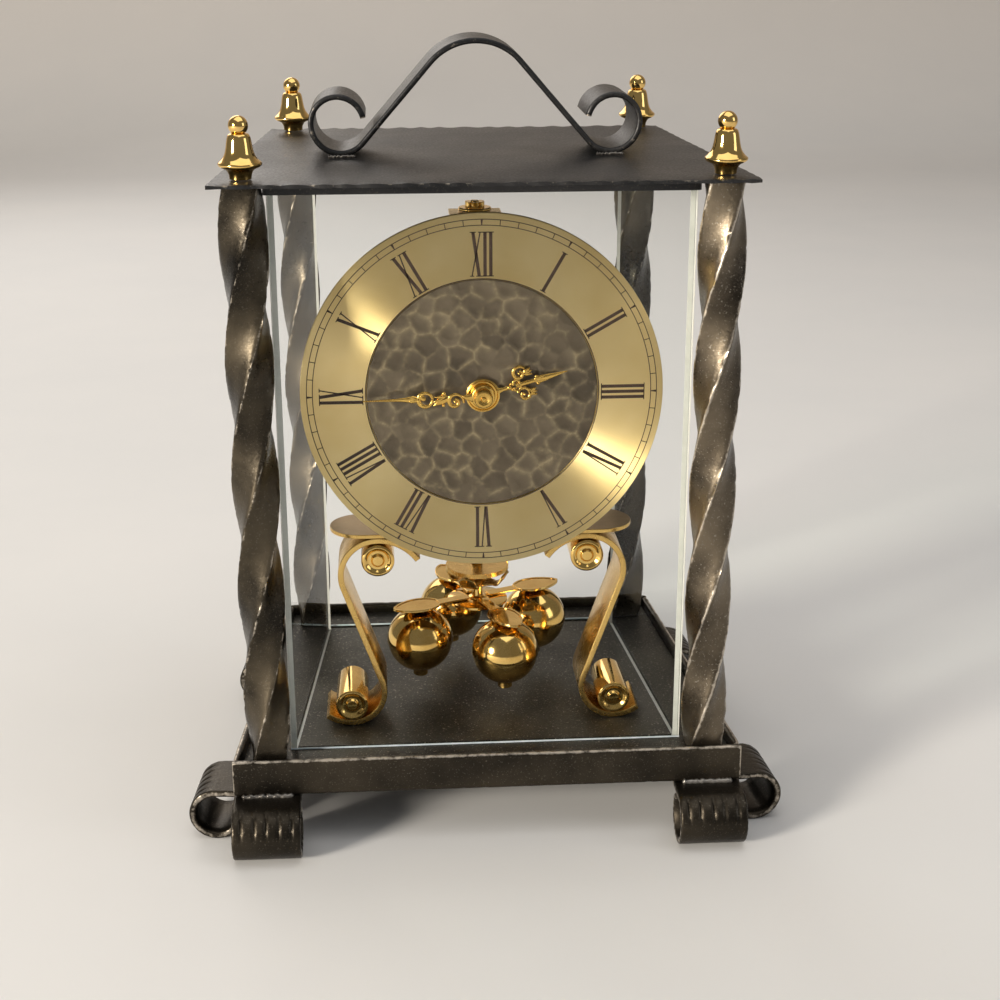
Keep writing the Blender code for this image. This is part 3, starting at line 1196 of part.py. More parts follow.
def ball_profile():
    """A pendulum ball with its neck above, up into its arm, and the stud below."""
    step = math.pi / (BALL_ROWS + 1)
    stud_angle = math.degrees(math.acos(BALL_STUD_RADIUS / BALL_RADIUS))
    profile = [(0.0, -BALL_RADIUS - BALL_STUD_LENGTH), (BALL_STUD_RADIUS, -BALL_RADIUS - BALL_STUD_LENGTH),
               polar((0, 0), BALL_RADIUS, -stud_angle)]
    for i in range(1, BALL_ROWS + 1):
        angle = -90 + math.degrees(step * i)
        profile.append(polar((0, 0), BALL_RADIUS, angle))
    neck_angle = math.degrees(math.acos(BALL_NECK_RADIUS / BALL_RADIUS))
    profile.append(polar((0, 0), BALL_RADIUS, neck_angle))
    return profile


def make_pendulum(brass, satin_brass):
    """Hub with its crown, four balls on leaf-shaped arms, and the regulating disc."""
    ball_z = BALL_CLEARANCE + BALL_RADIUS
    ball_top = ball_z + BALL_RADIUS
    arm_low = ball_top + SEAT_GAP * 2
    arm_high = arm_low + ARM_THICKNESS
    spider_high = arm_low - SEAT_GAP
    spider_low = spider_high - SPIDER_THICKNESS
    crown_low = CROWN_HEIGHT
    crown_high = crown_low + CROWN_THICKNESS
    hub = [(HUB_RADIUS, spider_low - SPIDER_THICKNESS), (HUB_RADIUS, HUB_HEIGHT)]
    place = (0.0, 0.0, BASE_TOP)
    turn = (0.0, 0.0, math.radians(PENDULUM_PHASE_DEG))
    frame = make_object("pendulum_frame", turned(hub, TURNED_SIDES), brass, place, turn)
    spider = [(SPIDER_RADIUS, spider_low), (SPIDER_RADIUS, spider_high)]
    join(frame, tool_object(turned(spider, TURNED_SIDES), place, turn))
    crown_middle = (crown_low + crown_high) / 2
    rim = CROWN_THICKNESS * 0.2
    disc_radius = CROWN_FLAT_RADIUS * 0.9
    crown = [(disc_radius, crown_low - rim), (disc_radius, crown_high + rim)]
    join(frame, tool_object(turned(crown, SMALL_SIDES), place, turn))
    petal = [(CROWN_FLAT_RADIUS * 0.65, crown_middle), (CROWN_FLAT_RADIUS, crown_middle),
             polar((CROWN_FLAT_RADIUS, crown_middle), CROWN_PETAL_LENGTH, CROWN_PETAL_DEG)]
    for i in range(4):
        bm = strip(petal, CROWN_THICKNESS, CROWN_PETAL_WIDTH)
        bmesh.ops.rotate(bm, verts=bm.verts, matrix=Matrix.Rotation(math.radians(45 + 90 * i), 3, "Z"))
        join(frame, tool_object(bm, place, turn))

    stem = ball_profile() + [(BALL_NECK_RADIUS, arm_low + ARM_THICKNESS / 2 - ball_z)]
    waist, leaf = ARM_WAIST_WIDTH / 2, ARM_LEAF_WIDTH / 2
    arm_shares = [(0.0, 1.0, 0.0), (0.35, 1.0, 0.0), (0.5, 0.0, 0.75), (0.65, 0.0, 1.0),
                  (0.8, 0.0, 0.95), (0.92, 0.0, 0.65), (1.0, 0.0, 0.2)]
    reach = ARM_OUTER_RADIUS - ARM_INNER_RADIUS
    side = [(ARM_INNER_RADIUS + reach * along, waist * narrow + leaf * wide)
            for along, narrow, wide in arm_shares]
    outline = [(x - BALL_ORBIT, -y) for x, y in side] + [(x - BALL_ORBIT, y) for x, y in reversed(side)]
    for i, name in enumerate(("ball_right", "ball_rear", "ball_left", "ball_front")):
        angle = math.radians(PENDULUM_PHASE_DEG + 90 * i)
        ball_place = (BALL_ORBIT * math.cos(angle), BALL_ORBIT * math.sin(angle), BASE_TOP + ball_z)
        ball_turn = (0.0, 0.0, angle)
        ball = make_object("pendulum_" + name, turned(stem, BALL_SIDES), brass, ball_place, ball_turn)
        bm = sheet([outline], arm_low - ball_z, arm_high - ball_z, to_xy)
        join(ball, tool_object(bm, ball_place, ball_turn))

    bore = HUB_RADIUS + RUNNING_GAP
    disc = [(bore, REGULATOR_HEIGHT), (REGULATOR_RADIUS, REGULATOR_HEIGHT),
            (REGULATOR_RADIUS, REGULATOR_HEIGHT + REGULATOR_THICKNESS),
            (bore, REGULATOR_HEIGHT + REGULATOR_THICKNESS)]
    make_object("regulating_disc", turned(disc, DRUM_SIDES, ring=True), satin_brass, place)


def build_clock():
    clear_scene()
    make_material("tool", (1.0, 0.0, 0.0), 0.5, 0.0)
    iron = make_material("wrought_iron", (0.045, 0.040, 0.036), 0.48, 0.85)
    brass = make_material("polished_brass", (0.83, 0.60, 0.25), 0.16, 1.0)
    satin_brass = make_material("satin_brass", (0.78, 0.62, 0.33), 0.34, 1.0)
    movement_brass = make_material("movement_brass", (0.76, 0.58, 0.27), 0.30, 1.0)
    gold = make_material("gilt", (0.85, 0.63, 0.22), 0.22, 1.0)
    pewter = make_material("hammered_pewter", (0.20, 0.18, 0.16), 0.42, 0.9)
    steel = make_material("steel", (0.55, 0.56, 0.58), 0.28, 1.0)
    glass = make_material("glass", (0.96, 0.98, 0.98), 0.02, 0.0, 1.0)
    make_feet(iron)
    make_base(iron)
    make_columns(iron)
    make_top(iron)
    make_finials(brass)
    make_handle(iron)
    make_glass(glass)
    make_support(brass, satin_brass)
    make_movement_plates(movement_brass)
    make_train(movement_brass, steel)
    make_barrel(movement_brass, steel)
    make_anchor(steel)
    make_fork(movement_brass)
    make_motion_work(movement_brass)
    make_dial(satin_brass, pewter)
    make_hands(gold)
    make_suspension(movement_brass, steel)
    make_pendulum(brass, satin_brass)


build_clock()
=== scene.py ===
"""Looks of the anniversary clock with a torsion pendulum: fine meshes, materials, light and camera.

Metres, +Z up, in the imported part's own frame. X runs across the dial, Y from front to back.
"""
import math
import random
from collections import namedtuple

import bmesh
import bpy
import numpy as np
from mathutils import Matrix, Vector, noise


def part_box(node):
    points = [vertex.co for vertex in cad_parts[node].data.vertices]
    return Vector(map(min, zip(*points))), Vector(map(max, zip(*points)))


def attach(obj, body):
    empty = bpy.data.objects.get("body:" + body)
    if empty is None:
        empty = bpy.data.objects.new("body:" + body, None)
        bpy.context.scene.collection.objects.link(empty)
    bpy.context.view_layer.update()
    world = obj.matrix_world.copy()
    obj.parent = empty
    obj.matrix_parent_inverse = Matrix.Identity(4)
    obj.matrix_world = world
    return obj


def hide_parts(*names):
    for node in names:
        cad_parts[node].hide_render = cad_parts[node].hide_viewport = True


# Camera: place above the floor, aim and lens
CAMERA_PLACE = (-0.03423, -0.64015, 0.32946)
CAMERA_YAW_DEG = 3.886
CAMERA_PITCH_DEG = -19.114
CAMERA_ROLL_DEG = 0.109
CAMERA_CLIP = (0.01, 50.0)
SENSOR_WIDTH_MM = 36.0
CAMERA_LENS_MM = 61.81

# Floor that bends up into a backdrop, and lamps: name, place, size, power and colour
FLOOR_HALF_WIDTH = 4.0
FLOOR_DEPTHS = (-3.0, -1.0, 0.0, 1.6)
FLOOR_BEND = 0.8
BACKDROP_TOP = 4.0
LAMP_TARGET = (0.0, 0.0, 0.14)
LAMPS = (("key", (-1.95, -1.50, 0.68), (0.50, 0.60), 84.0, (1.0, 0.92, 0.80)),
         ("top", (0.1, -0.1, 1.6), (1.6, 1.6), 10.0, (1.0, 0.98, 0.95)),
         ("right", (1.25, -0.6, 0.6), (0.5, 0.7), 2.0, (0.93, 0.96, 1.0)),
         ("rear", (-0.5, 1.2, 0.9), (0.9, 0.9), 5.0, (1.0, 0.97, 0.93)))
SURROUND_COLOUR = (1.0, 0.985, 0.965, 1.0)
SURROUND_STRENGTH = 0.18

# Heights of the materials' bumps
FORGE_BUMP = 0.00035
GRAIN_BUMP = 0.00006
PEWTER_BUMP = 0.00008
SCRATCH_BUMP = 0.00002
SPUN_BUMP = 0.000012
FLOOR_BUMP = 0.0001

# Fits and fine edges
SEAT_GAP = 0.0003
RUNNING_GAP = 0.0003
FINEST_EDGE = 0.0001
FINE_EDGE = 0.0002
SOFT_EDGE = 0.0003
SMALLEST_RADIUS = 1e-5

# Wrought iron case, narrower at the back
FORGE_DENT = 0.00018
FOOT_STRIP_THICKNESS = 0.0025
FOOT_TAB_REACH = 0.004
FOOT_ROLL_STANDOFF = 0.008
FOOT_ROLL_DEG = 303
FOOT_FLOOR_GAP = 0.00003
FOOT_RIM_DENT = 0.0003
FOOT_GROOVES = 5
FOOT_GROOVE_PITCH_SHARE = 0.36
FOOT_GROOVE_SHIFT = 0.0005
FOOT_GROOVE_WIDTH = 0.0005
FOOT_GROOVE_DEPTH = 0.0008
FOOT_GROOVE_LIP = 0.0008
FOOT_END_SHARE = 0.01
WELD_RADIUS = 0.0013
WELD_WANDER = 0.0002
WELD_OFFSET = 0.0002
WELD_INSET = 0.003
HANDLE_WELD_RADIUS = 0.0007
HANDLE_WELD_REACH = 0.005
HANDLE_WELD_INSET = 0.0004
FRAME_OVERHANG_X = 0.0122
STRIP_ROUNDING = 0.0005
STRIP_STEP = 0.0012
STRIP_DENT = 0.00016
STRIP_RIM_DENT = 0.0003
STRIP_PINCH_SHARES = (0.16, 0.05)
COLUMN_BAR = 0.0126
COLUMN_ROUNDING = 0.0011
COLUMN_HOLLOW = 0.00022
COLUMN_DENT = 0.00022
COLUMN_RIDGE = 0.00055
COLUMN_QUARTER_TURNS = 5
COLUMN_STEPS = 220
COLUMN_FACE_POINTS = 9
TOP_THICKNESS = 0.0018
TOP_OVERHANG = 0.010
TOP_SCALLOP = 0.009
TOP_CHIP = 0.0002
TOP_SCALLOP_DEPTH_X = 0.00012
TOP_SCALLOP_DEPTH_Y = 0.0004
TOP_SWELL = 0.00015
TOP_RIM_DROP = 0.0007
TOP_RIM_RISE = 0.0002
TOP_COLUMNS, TOP_LINES = 150, 130
GLASS_THICKNESS = 0.002
GLASS_SETBACK = 0.007
GLASS_LINE_DEPTH = 0.0004
GLASS_LINE_RISE = 0.0001
GLASS_LINE_HEIGHT = 0.0005
CHANNEL_WALL = 0.0008
CHANNEL_CORNER_CUT = 0.001
CHANNEL_TOP_GAP = 0.0001
HANDLE_THICKNESS = 0.002
HANDLE_ROUNDING = 0.0005
HANDLE_RIM_DENT = 0.0004
HANDLE_RAGGED_SHARE = 0.0006
HANDLE_END_SHARE = 0.004
HANDLE_CROWN_RADIUS = 0.0215
HANDLE_SLOPE_DEG = 48.8
HANDLE_HEEL_RADIUS = 0.0105
HANDLE_SCROLL_RADIUS = 0.0094
HANDLE_SCROLL_DEG = 168
FINIAL_BALL_SHARE = 0.45
FINIAL_SHARES = ((0.0, 0.0), (0.50, 0.0), (0.505, 0.03), (0.52, 0.07), (0.57, 0.11), (0.64, 0.145),
                 (0.74, 0.165), (0.90, 0.19), (0.985, 0.215), (1.0, 0.24), (0.985, 0.258),
                 (0.93, 0.275), (0.85, 0.30), (0.77, 0.335), (0.70, 0.375), (0.645, 0.43),
                 (0.605, 0.50), (0.57, 0.58), (0.535, 0.645), (0.49, 0.69), (0.43, 0.712),
                 (0.345, 0.722))
CORNERS = ("front_left", "front_right", "rear_left", "rear_right")

# Support inside the case
LEG_THICKNESS = 0.0022
LEG_FOOT_RADIUS = 0.0125
LEG_TOE_RADIUS = 0.016
LEG_TOE_DEG = 36
LEG_HEAD_RADIUS = 0.014
LEG_CURL_RADIUS = 0.018
LEG_CURL_DEG = 56
LEG_LEAN_DEG = 19.4
# Turned nut: share of its radius and depth behind its face
NUT_FACE = ((0.0, 0.0002), (0.30, 0.0002), (0.34, 0.0005), (0.42, 0.0011), (0.60, 0.0011),
            (0.74, 0.000385), (0.84, 0.0), (1.0, 0.0004))
NUT_BACK = ((1.0, 0.0004), (0.84, 0.0), (0.0, 0.0))
NUT_ROUNDING = 0.00025

# Dial
DIAL_RIM_ROUNDING = 0.0003
DIAL_BORE = 0.0041
DIAL_RECESS_GAP = 0.0003
DIAL_LIP = 0.0001
DIAL_THICKNESS = 0.0016
DIAL_FOOT_RADIUS = 0.0015
DIAL_FOOT_REACH = 0.027
INK_HEIGHT = 0.00003
TRACK_OUTER_SHARE = 0.964
TRACK_INNER_SHARE = 0.932
TRACK_LINE = 0.00030
TRACK_DISC_GAP = 0.00045
TRACK_WEDGE = (0.00016, 0.00045)
NUMERAL_OUTER_SHARE = 0.897
NUMERAL_INNER_SHARE = 0.655
NUMERAL_STROKE = 0.00118
NUMERAL_HAIRLINE = 0.00048
NUMERAL_GAP = 0.00085
NUMERAL_SERIF = 0.00034
NUMERAL_LIP = 0.0005
LETTER_WIDTH = 0.0034
HAMMER_PITCH = 0.0076
HAMMER_ROW_SHARE = 0.86
HAMMER_SCATTER_SHARE = 0.19
HAMMER_RADIUS = 0.026
HAMMER_FORCE = 0.00004
HAMMER_WOBBLE = 0.0004
HAMMER_WOBBLE_RATES = (620, 560)
HAMMER_SOFTNESS = 0.00004
HAMMER_BLEND = 0.00005
HAMMER_RIDGE = 0.00018
HAMMER_ROOM = 0.00025
HAMMER_RIM = 0.0006
HAMMER_RIM_RISE = 0.0001
HAMMER_SEED = 11

# Hands. Points are (across, along), wires have half widths, and cups (radius, height)
HAND_WEIGHT = 1.4
HAND_HALF_DEPTH = 0.0004
HAND_FULL_WIDTH = 0.0003
LEAF_EDGE = 0.00008
HOUR_HAND_DEG = 74.5
HOUR_STEM = (((0, 0.0050), (0, 0.0075), (0, 0.0095)), (0.0011, 0.0005, 0.0006))
HOUR_KNOT = ((0, 0.0099, 0.0010), (-0.0011, 0.0108, 0.0006), (0.0011, 0.0108, 0.0006))
HOUR_LOOP = (0.0008, 0.0127)
HOUR_LOOP_RADIUS = 0.0012
HOUR_LOOP_WIDTHS = (0.00038, 0.00038)
HOUR_SCROLL = (0.0040, 0.0146)
HOUR_SCROLL_RADII = (0.0027, 0.0009)
HOUR_SCROLL_WIDTHS = (0.00035, 0.0005, 0.00045, 0.0003)
HOUR_SCROLL_EYE = 0.0006
HOUR_FAN_ROOT = (0.0036, 0.0160)
HOUR_FAN_LENGTH = 0.0034
HOUR_FAN_WIDTH = 0.00050
HOUR_FAN_DEGS = (-16, 6, 28)
HOUR_BUD = (0.0013, 0.0203, 0.0007)
HOUR_FEATHER = ((0.0004, 0.0190), (0.0010, 0.0240), 0.00045)
HOUR_TIP = (((0, 0.0135), (0, 0.0165), (0, 0.0190), (0, 0.0215), (0, 0.0250), (0, 0.0315)),
            (0.0005, 0.0006, 0.0005, 0.0010, 0.0007, 0.0001))
HOUR_CUP = ((0.0029, 0.0008), (0.0056, 0.0008), (0.0061, 0.0002), (0.0061, -0.0003),
            (0.0055, -0.0006), (0.0051, -0.0002), (0.0045, -0.0002), (0.0042, -0.0009),
            (0.0036, -0.0010), (0.0033, -0.0004), (0.0029, -0.0004))
MINUTE_HAND_DEG = 269
MINUTE_STEM = (((0, 0.0035), (0, 0.0060), (0.0004, 0.0072)), (0.0013, 0.0006, 0.0005))
MINUTE_SCROLL = (-0.0013, 0.0101)
MINUTE_SCROLL_RADII = (0.0031, 0.0008)
MINUTE_SCROLL_WIDTHS = (0.0003, 0.00055, 0.0005, 0.0003)
MINUTE_FAN = (((0.0006, 0.0122), (-0.0026, 0.0180), 0.0009),
              ((0.0006, 0.0122), (-0.0012, 0.0178), 0.0007),
              ((0.0006, 0.0122), (0.0006, 0.0176), 0.0005))
MINUTE_LOOP = (-0.0003, 0.0207)
MINUTE_LOOP_RADIUS = 0.0025
MINUTE_LOOP_WIDTHS = (0.00036, 0.00055, 0.0006, 0.00036)
MINUTE_BEADS = ((0.0004, 0.0068, 0.0007), (-0.0013, 0.0101, 0.0007), (0.0018, 0.0140, 0.0008),
                (-0.0026, 0.0142, 0.0006), (0.0010, 0.0222, 0.0006), (-0.0018, 0.0222, 0.0006),
                (-0.0009, 0.0258, 0.00045), (0.0009, 0.0258, 0.00045))
MINUTE_FEATHERS = (((-0.0003, 0.0205), (0.0010, 0.0232), 0.0006),
                   ((-0.0002, 0.0235), (-0.0009, 0.0268), 0.0004),
                   ((0.0002, 0.0235), (0.0009, 0.0268), 0.0004))
MINUTE_NEEDLE = (((0, 0.0228), (0, 0.0250), (0, 0.0272), (0, 0.0310), (0, 0.0360), (0, 0.043)),
                 (0.0005, 0.0010, 0.0007, 0.0004, 0.0003, 0.00015))
MINUTE_BOSS = ((0.0020, 0.0006), (0.0040, 0.0006), (0.0042, 0.0002), (0.0042, -0.0003),
               (0.0038, -0.0006), (0.0020, -0.0006))
HAND_NUT = ((0.0, -0.0007), (0.0026, -0.0007), (0.0031, -0.0010), (0.0033, -0.0017),
            (0.0033, -0.0029), (0.0030, -0.0035), (0.0024, -0.0037), (0.0019, -0.0036),
            (0.0014, -0.0032), (0.0010, -0.0032), (0.0007, -0.0036), (0.0, -0.0037))

# Pendulum: turned profiles are (radius, height) from the level that each is raised to
BALL_RADIUS = 0.0132
BALL_SEAM = 0.00035
BALL_FOOT_DROP = 0.002
BALL_FOOT = ((0.0, -0.002), (0.0026, -0.002), (0.0029, -0.0017), (0.0029, -0.0003))
BALL_WAIST = ((BALL_RADIUS - BALL_SEAM, -0.0010), (BALL_RADIUS - BALL_SEAM * 0.2, -0.0008),
              (BALL_RADIUS, -0.0004), (BALL_RADIUS, 0.0002))
BALL_NECK_RADIUS = 0.0012
ARM_THICKNESS = 0.0011
ARM_RIM_RISE = 0.0003
ARM_RIM_HEIGHT = 0.0004
ARM_BLADE_BEVEL = 0.00025
ARM_RIM_BEVEL = 0.00015
ARM_INNER_RADIUS = 0.0045
ARM_OUTER_RADIUS = 0.0365
ARM_LEAF_WIDTH = 0.0125
ARM_WAIST_WIDTH = 0.0045
SPIDER_THICKNESS = 0.0012
HUB_FOOT = ((0.0, -0.0010), (0.0034, -0.0010), (0.0040, -0.0004), (0.0110, 0.0), (0.0120, 0.0002))
HUB_SPIDER = ((0.0120, -0.0002), (0.0116, 0.0), (0.0038, 0.0), (0.0034, 0.0006), (0.0022, 0.0010),
              (0.0021, 0.0014))
HUB_COLLAR = ((0.0021, -0.0014), (0.0034, -0.0010), (0.0036, 0.0), (0.0036, 0.0014),
              (0.0030, 0.0018), (0.0021, 0.0020))
HUB_HEAD = ((0.0021, -0.0003), (0.0018, 0.0), (0.0, 0.0))
CROWN_RISE = 0.0425
CROWN_LOBES = 4
CROWN_TURN_DEG = 67
CROWN_RADIUS = 0.0072
CROWN_WAVE = 0.0014
CROWN_THICKNESS = 0.0008
PETAL_ROOT = 0.0062
PETAL_FLAT = 0.0012
PETAL_BEND_RADIUS = 0.0035
PETAL_BEND_DEG = 62
PETAL_RISE = 0.0024
PETAL_TIP_RADIUS = 0.004
PETAL_TIP_DEG = 30
PETAL_HALF_THICKNESS = 0.00045
PETAL_HALF_WIDTH = 0.0038
KNURLS = 90
KNURL_DEPTH = 0.0004
KNURL_SHARES = ((0.0, 0.0), (0.35, 0.0), (0.5, 1.0), (0.85, 1.0))
DISC_BORE = 0.0024
BEAT_STEM_RADIUS = 0.0015
BEAT_WASHER_HEIGHT = 0.0012
BEAT_NUT_HEIGHT = 0.0024
BEAT_NUT_RADIUS = 0.0037
BEAT_NOTCHES = 6
BEAT_NOTCH_DEPTH = 0.0009
BEAT_NUT_OVERLAP = 0.0001
BEAT_STEM_TIP = ((0.0, -0.0004), (0.0016, -0.0004), (0.0015, 0.0), (0.0, 0.0))
BEAT_BEVEL = 0.00015

# Screws: radius and height of their heads
PLATE_SCREW = (0.0028, 0.0012)
PLATE_SCREW_INSET = 0.006
PLATFORM_SCREW = (0.0026, 0.0013)

# Fineness of the meshes
ARC_STEP_DEG = 4
DIAL_SIDES = 256

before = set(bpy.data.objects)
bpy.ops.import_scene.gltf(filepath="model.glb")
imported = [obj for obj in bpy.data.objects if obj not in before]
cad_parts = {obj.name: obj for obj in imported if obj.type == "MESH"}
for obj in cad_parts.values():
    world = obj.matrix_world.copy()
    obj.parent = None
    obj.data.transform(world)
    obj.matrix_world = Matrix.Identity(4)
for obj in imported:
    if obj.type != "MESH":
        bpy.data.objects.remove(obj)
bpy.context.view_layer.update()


# ---------------------------------------------------------------- points and outlines

def polar(centre, radius, angle_deg):
    """A point at a distance and an angle from another one."""
    angle = math.radians(angle_deg)
    return (centre[0] + radius * math.cos(angle), centre[1] + radius * math.sin(angle))


def trace(start, heading_deg, *moves):
    """A path of moves: ("run", length, steps), or ("arc", radius, turn) where right is negative."""
    path = [start]
    for kind, size, amount in moves:
        if kind == "run":
            path += [polar(path[-1], size * i / amount, heading_deg) for i in range(1, amount + 1)]
            continue
        side = 1 if amount > 0 else -1
        steps = max(2, math.ceil(abs(amount) / ARC_STEP_DEG))
        centre = polar(path[-1], size, heading_deg + 90 * side)
        path += [polar(centre, size, heading_deg - 90 * side + amount * i / steps)
                 for i in range(1, steps + 1)]
        heading_deg += amount
    return path


def circle(radius, sides):
    """Evenly spaced points round the origin."""
    return [polar((0.0, 0.0), radius, 360 * i / sides) for i in range(sides)]


def spiral(centre, start_deg, end_deg, start_radius, end_radius):
    """Points along a scroll whose radius changes evenly with its angle."""
    steps = max(6, int(abs(end_deg - start_deg) / 10))
    return [polar(centre, start_radius + (end_radius - start_radius) * i / steps,
                  start_deg + (end_deg - start_deg) * i / steps) for i in range(steps + 1)]


def raised(profile, level):
    """A turned profile, lifted to a level."""
    return [(radius, level + height) for radius, height in profile]


def rounded_section(half_across, half_along, rounding, steps=4):
    """A rectangle with rounded corners, as (across, along) points."""
    return [polar((sx * (half_across - rounding), sy * (half_along - rounding)),
                  rounding, 90 * corner + 90 * i / (steps - 1))
            for corner, (sx, sy) in enumerate(((1, 1), (-1, 1), (-1, -1), (1, -1)))
            for i in range(steps)]


def rounded_profile(points, rounding, steps=4):
    """A turned profile with its inner corners rounded; the first and last points stay."""
    result = [points[0]]
    for before, here, after in zip(points, points[1:], points[2:]):
        here = Vector(here)
        back, ahead = Vector(before) - here, Vector(after) - here
        reach = min(rounding, back.length * 0.45, ahead.length * 0.45)
        start, end = here + back.normalized() * reach, here + ahead.normalized() * reach
        for i in range(steps + 1):
            t = i / steps
            result.append(tuple(start * (1 - t) ** 2 + here * 2 * t * (1 - t) + end * t ** 2))
    result.append(points[-1])
    return result


def strip_section(half_thickness, half_width, rounding, outer_points, inner_points=6):
    """The section of a flat strip with many points across its outer face, for dents and grooves."""
    inset = half_width - rounding
    outer = [(half_thickness, -inset + 2 * inset * k / outer_points) for k in range(outer_points + 1)]
    inner = [(-half_thickness, inset - 2 * inset * k / inner_points) for k in range(inner_points + 1)]
    edge = [(half_thickness * share, half_width - rounding * drop)
            for share, drop in ((0.7, 0.3), (0.3, 0.0), (-0.3, 0.0), (-0.7, 0.3))]
    return outer + edge + inner + [(-across, -width) for across, width in edge]


def ripple(x, y, z):
    """Smooth noise about zero."""
    return noise.noise(Vector((x, y, z)))


def rim_share(width, half_width):
    """How near a point lies to the edge of a strip, from 0 to 1 over its last stretch."""
    return max(0.0, abs(width) / half_width - 0.955) / 0.045


# ---------------------------------------------------------------- meshes

def skin(bm, rows, closed_rows=True, caps=True, ring=False):
    """Faces over rows of points. Each row is a ring, and the ends are closed by caps."""
    made = [[bm.verts.new(point) for point in row] for row in rows]
    for low, high in list(zip(made, made[1:])) + ([(made[-1], made[0])] if ring else []):
        count = len(low)
        for i in range(count if closed_rows else count - 1):
            following = (i + 1) % count
            bm.faces.new((low[i], low[following], high[following], high[i]))
    if caps and not ring:
        bm.faces.new(list(reversed(made[0])))
        bm.faces.new(made[-1])


def lathe(profile, sides, centre=(0.0, 0.0, 0.0), along="Z", ring=False, bm=None):
    """A turned solid from points (radius, distance along the axis)."""
    bm = bm or bmesh.new()
    rows = []
    for radius, distance in profile:
        points = circle(max(radius, SMALLEST_RADIUS), sides)
        rows.append([Vector((u, v, distance) if along == "Z" else (u, distance, -v)) + Vector(centre)
                     for u, v in points])
    skin(bm, rows, ring=ring)
    return bm


def across_path(path, i):
    """The unit vector square to a path at one of its points."""
    ends = Vector(path[min(i + 1, len(path) - 1)]) - Vector(path[max(i - 1, 0)])
    return Vector((-ends.y, ends.x)).normalized()


def swept(bm, path, section, shape=None):
    """A strip of the given section, bent along a path in the X-Z plane, its width along Y.

    shape may change each point: it gets the share along the path, across and along the width.
    Returns those three for each vertex.
    """
    rows, spots = [], []
    for i, point in enumerate(path):
        normal = across_path(path, i)
        share = i / (len(path) - 1)
        row = []
        for across, width in section:
            spots.append((share, across, width))
            if shape:
                across, width = shape(share, across, width)
            place = Vector(point) + normal * across
            row.append((place.x, width, place.y))
        rows.append(row)
    skin(bm, rows)
    return spots


def flat_solid(loops, low, high, bm=None):
    """A flat solid between two levels. The first loop is its edge and the others are holes."""
    bm = bm or bmesh.new()
    edges = []
    for loop in loops:
        verts = [bm.verts.new((x, y, low)) for x, y in loop]
        edges += [bm.edges.new(pair) for pair in zip(verts, verts[1:] + verts[:1])]
    filled = bmesh.ops.triangle_fill(bm, use_beauty=True, use_dissolve=True, edges=edges)
    faces = [part for part in filled["geom"] if isinstance(part, bmesh.types.BMFace)]
    up = bmesh.ops.extrude_face_region(bm, geom=faces)
    top = [part for part in up["geom"] if isinstance(part, bmesh.types.BMVert)]
    bmesh.ops.translate(bm, verts=top, vec=(0, 0, high - low))
    return bm


def mesh_of(name, bm, material):
    """A mesh from a bmesh, which is used up."""
    mesh = bpy.data.meshes.new(name)
    bm.to_mesh(mesh)
    bm.free()
    mesh.materials.append(material)
    return mesh


def add_object(name, data):
    """An object that is part of the scene."""
    item = bpy.data.objects.new(name, data)
    bpy.context.scene.collection.objects.link(item)
    return item


def make_piece(name, bm, material, slot, *nodes, body="case", bevel=0.0, place=(0, 0, 0),
               turn=(0, 0, 0), smooth_deg=40, wear_and_highlight=None):
    """A finished piece from its bmesh: smooth, bevelled and riding on its body.

    The last argument gives each vertex's share of rubbing and of painted highlight, which the iron
    turns into bright edges.
    """
    bmesh.ops.recalc_face_normals(bm, faces=bm.faces)
    piece = add_object(name, mesh_of(name, bm, material))
    if wear_and_highlight:
        piece.data.attributes.new("wear_and_highlight", "FLOAT", "POINT").data.foreach_set("value", wear_and_highlight)
    if bevel:
        modifier = piece.modifiers.new("edges", "BEVEL")
        modifier.width = bevel
        modifier.segments = 2
        modifier.limit_method = "ANGLE"
        modifier.angle_limit = math.radians(40)
        graph = bpy.context.evaluated_depsgraph_get()
        piece.data = bpy.data.meshes.new_from_object(piece.evaluated_get(graph))
        piece.modifiers.clear()
    piece.data.shade_smooth()
    piece.data.set_sharp_from_angle(angle=math.radians(smooth_deg))
    if bevel:
        piece.modifiers.new("shading", "WEIGHTED_NORMAL").keep_sharp = True
    piece.location = place
    piece.rotation_euler = turn
    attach(piece, body)
    if nodes:
        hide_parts(*nodes)
    return piece


# ---------------------------------------------------------------- materials

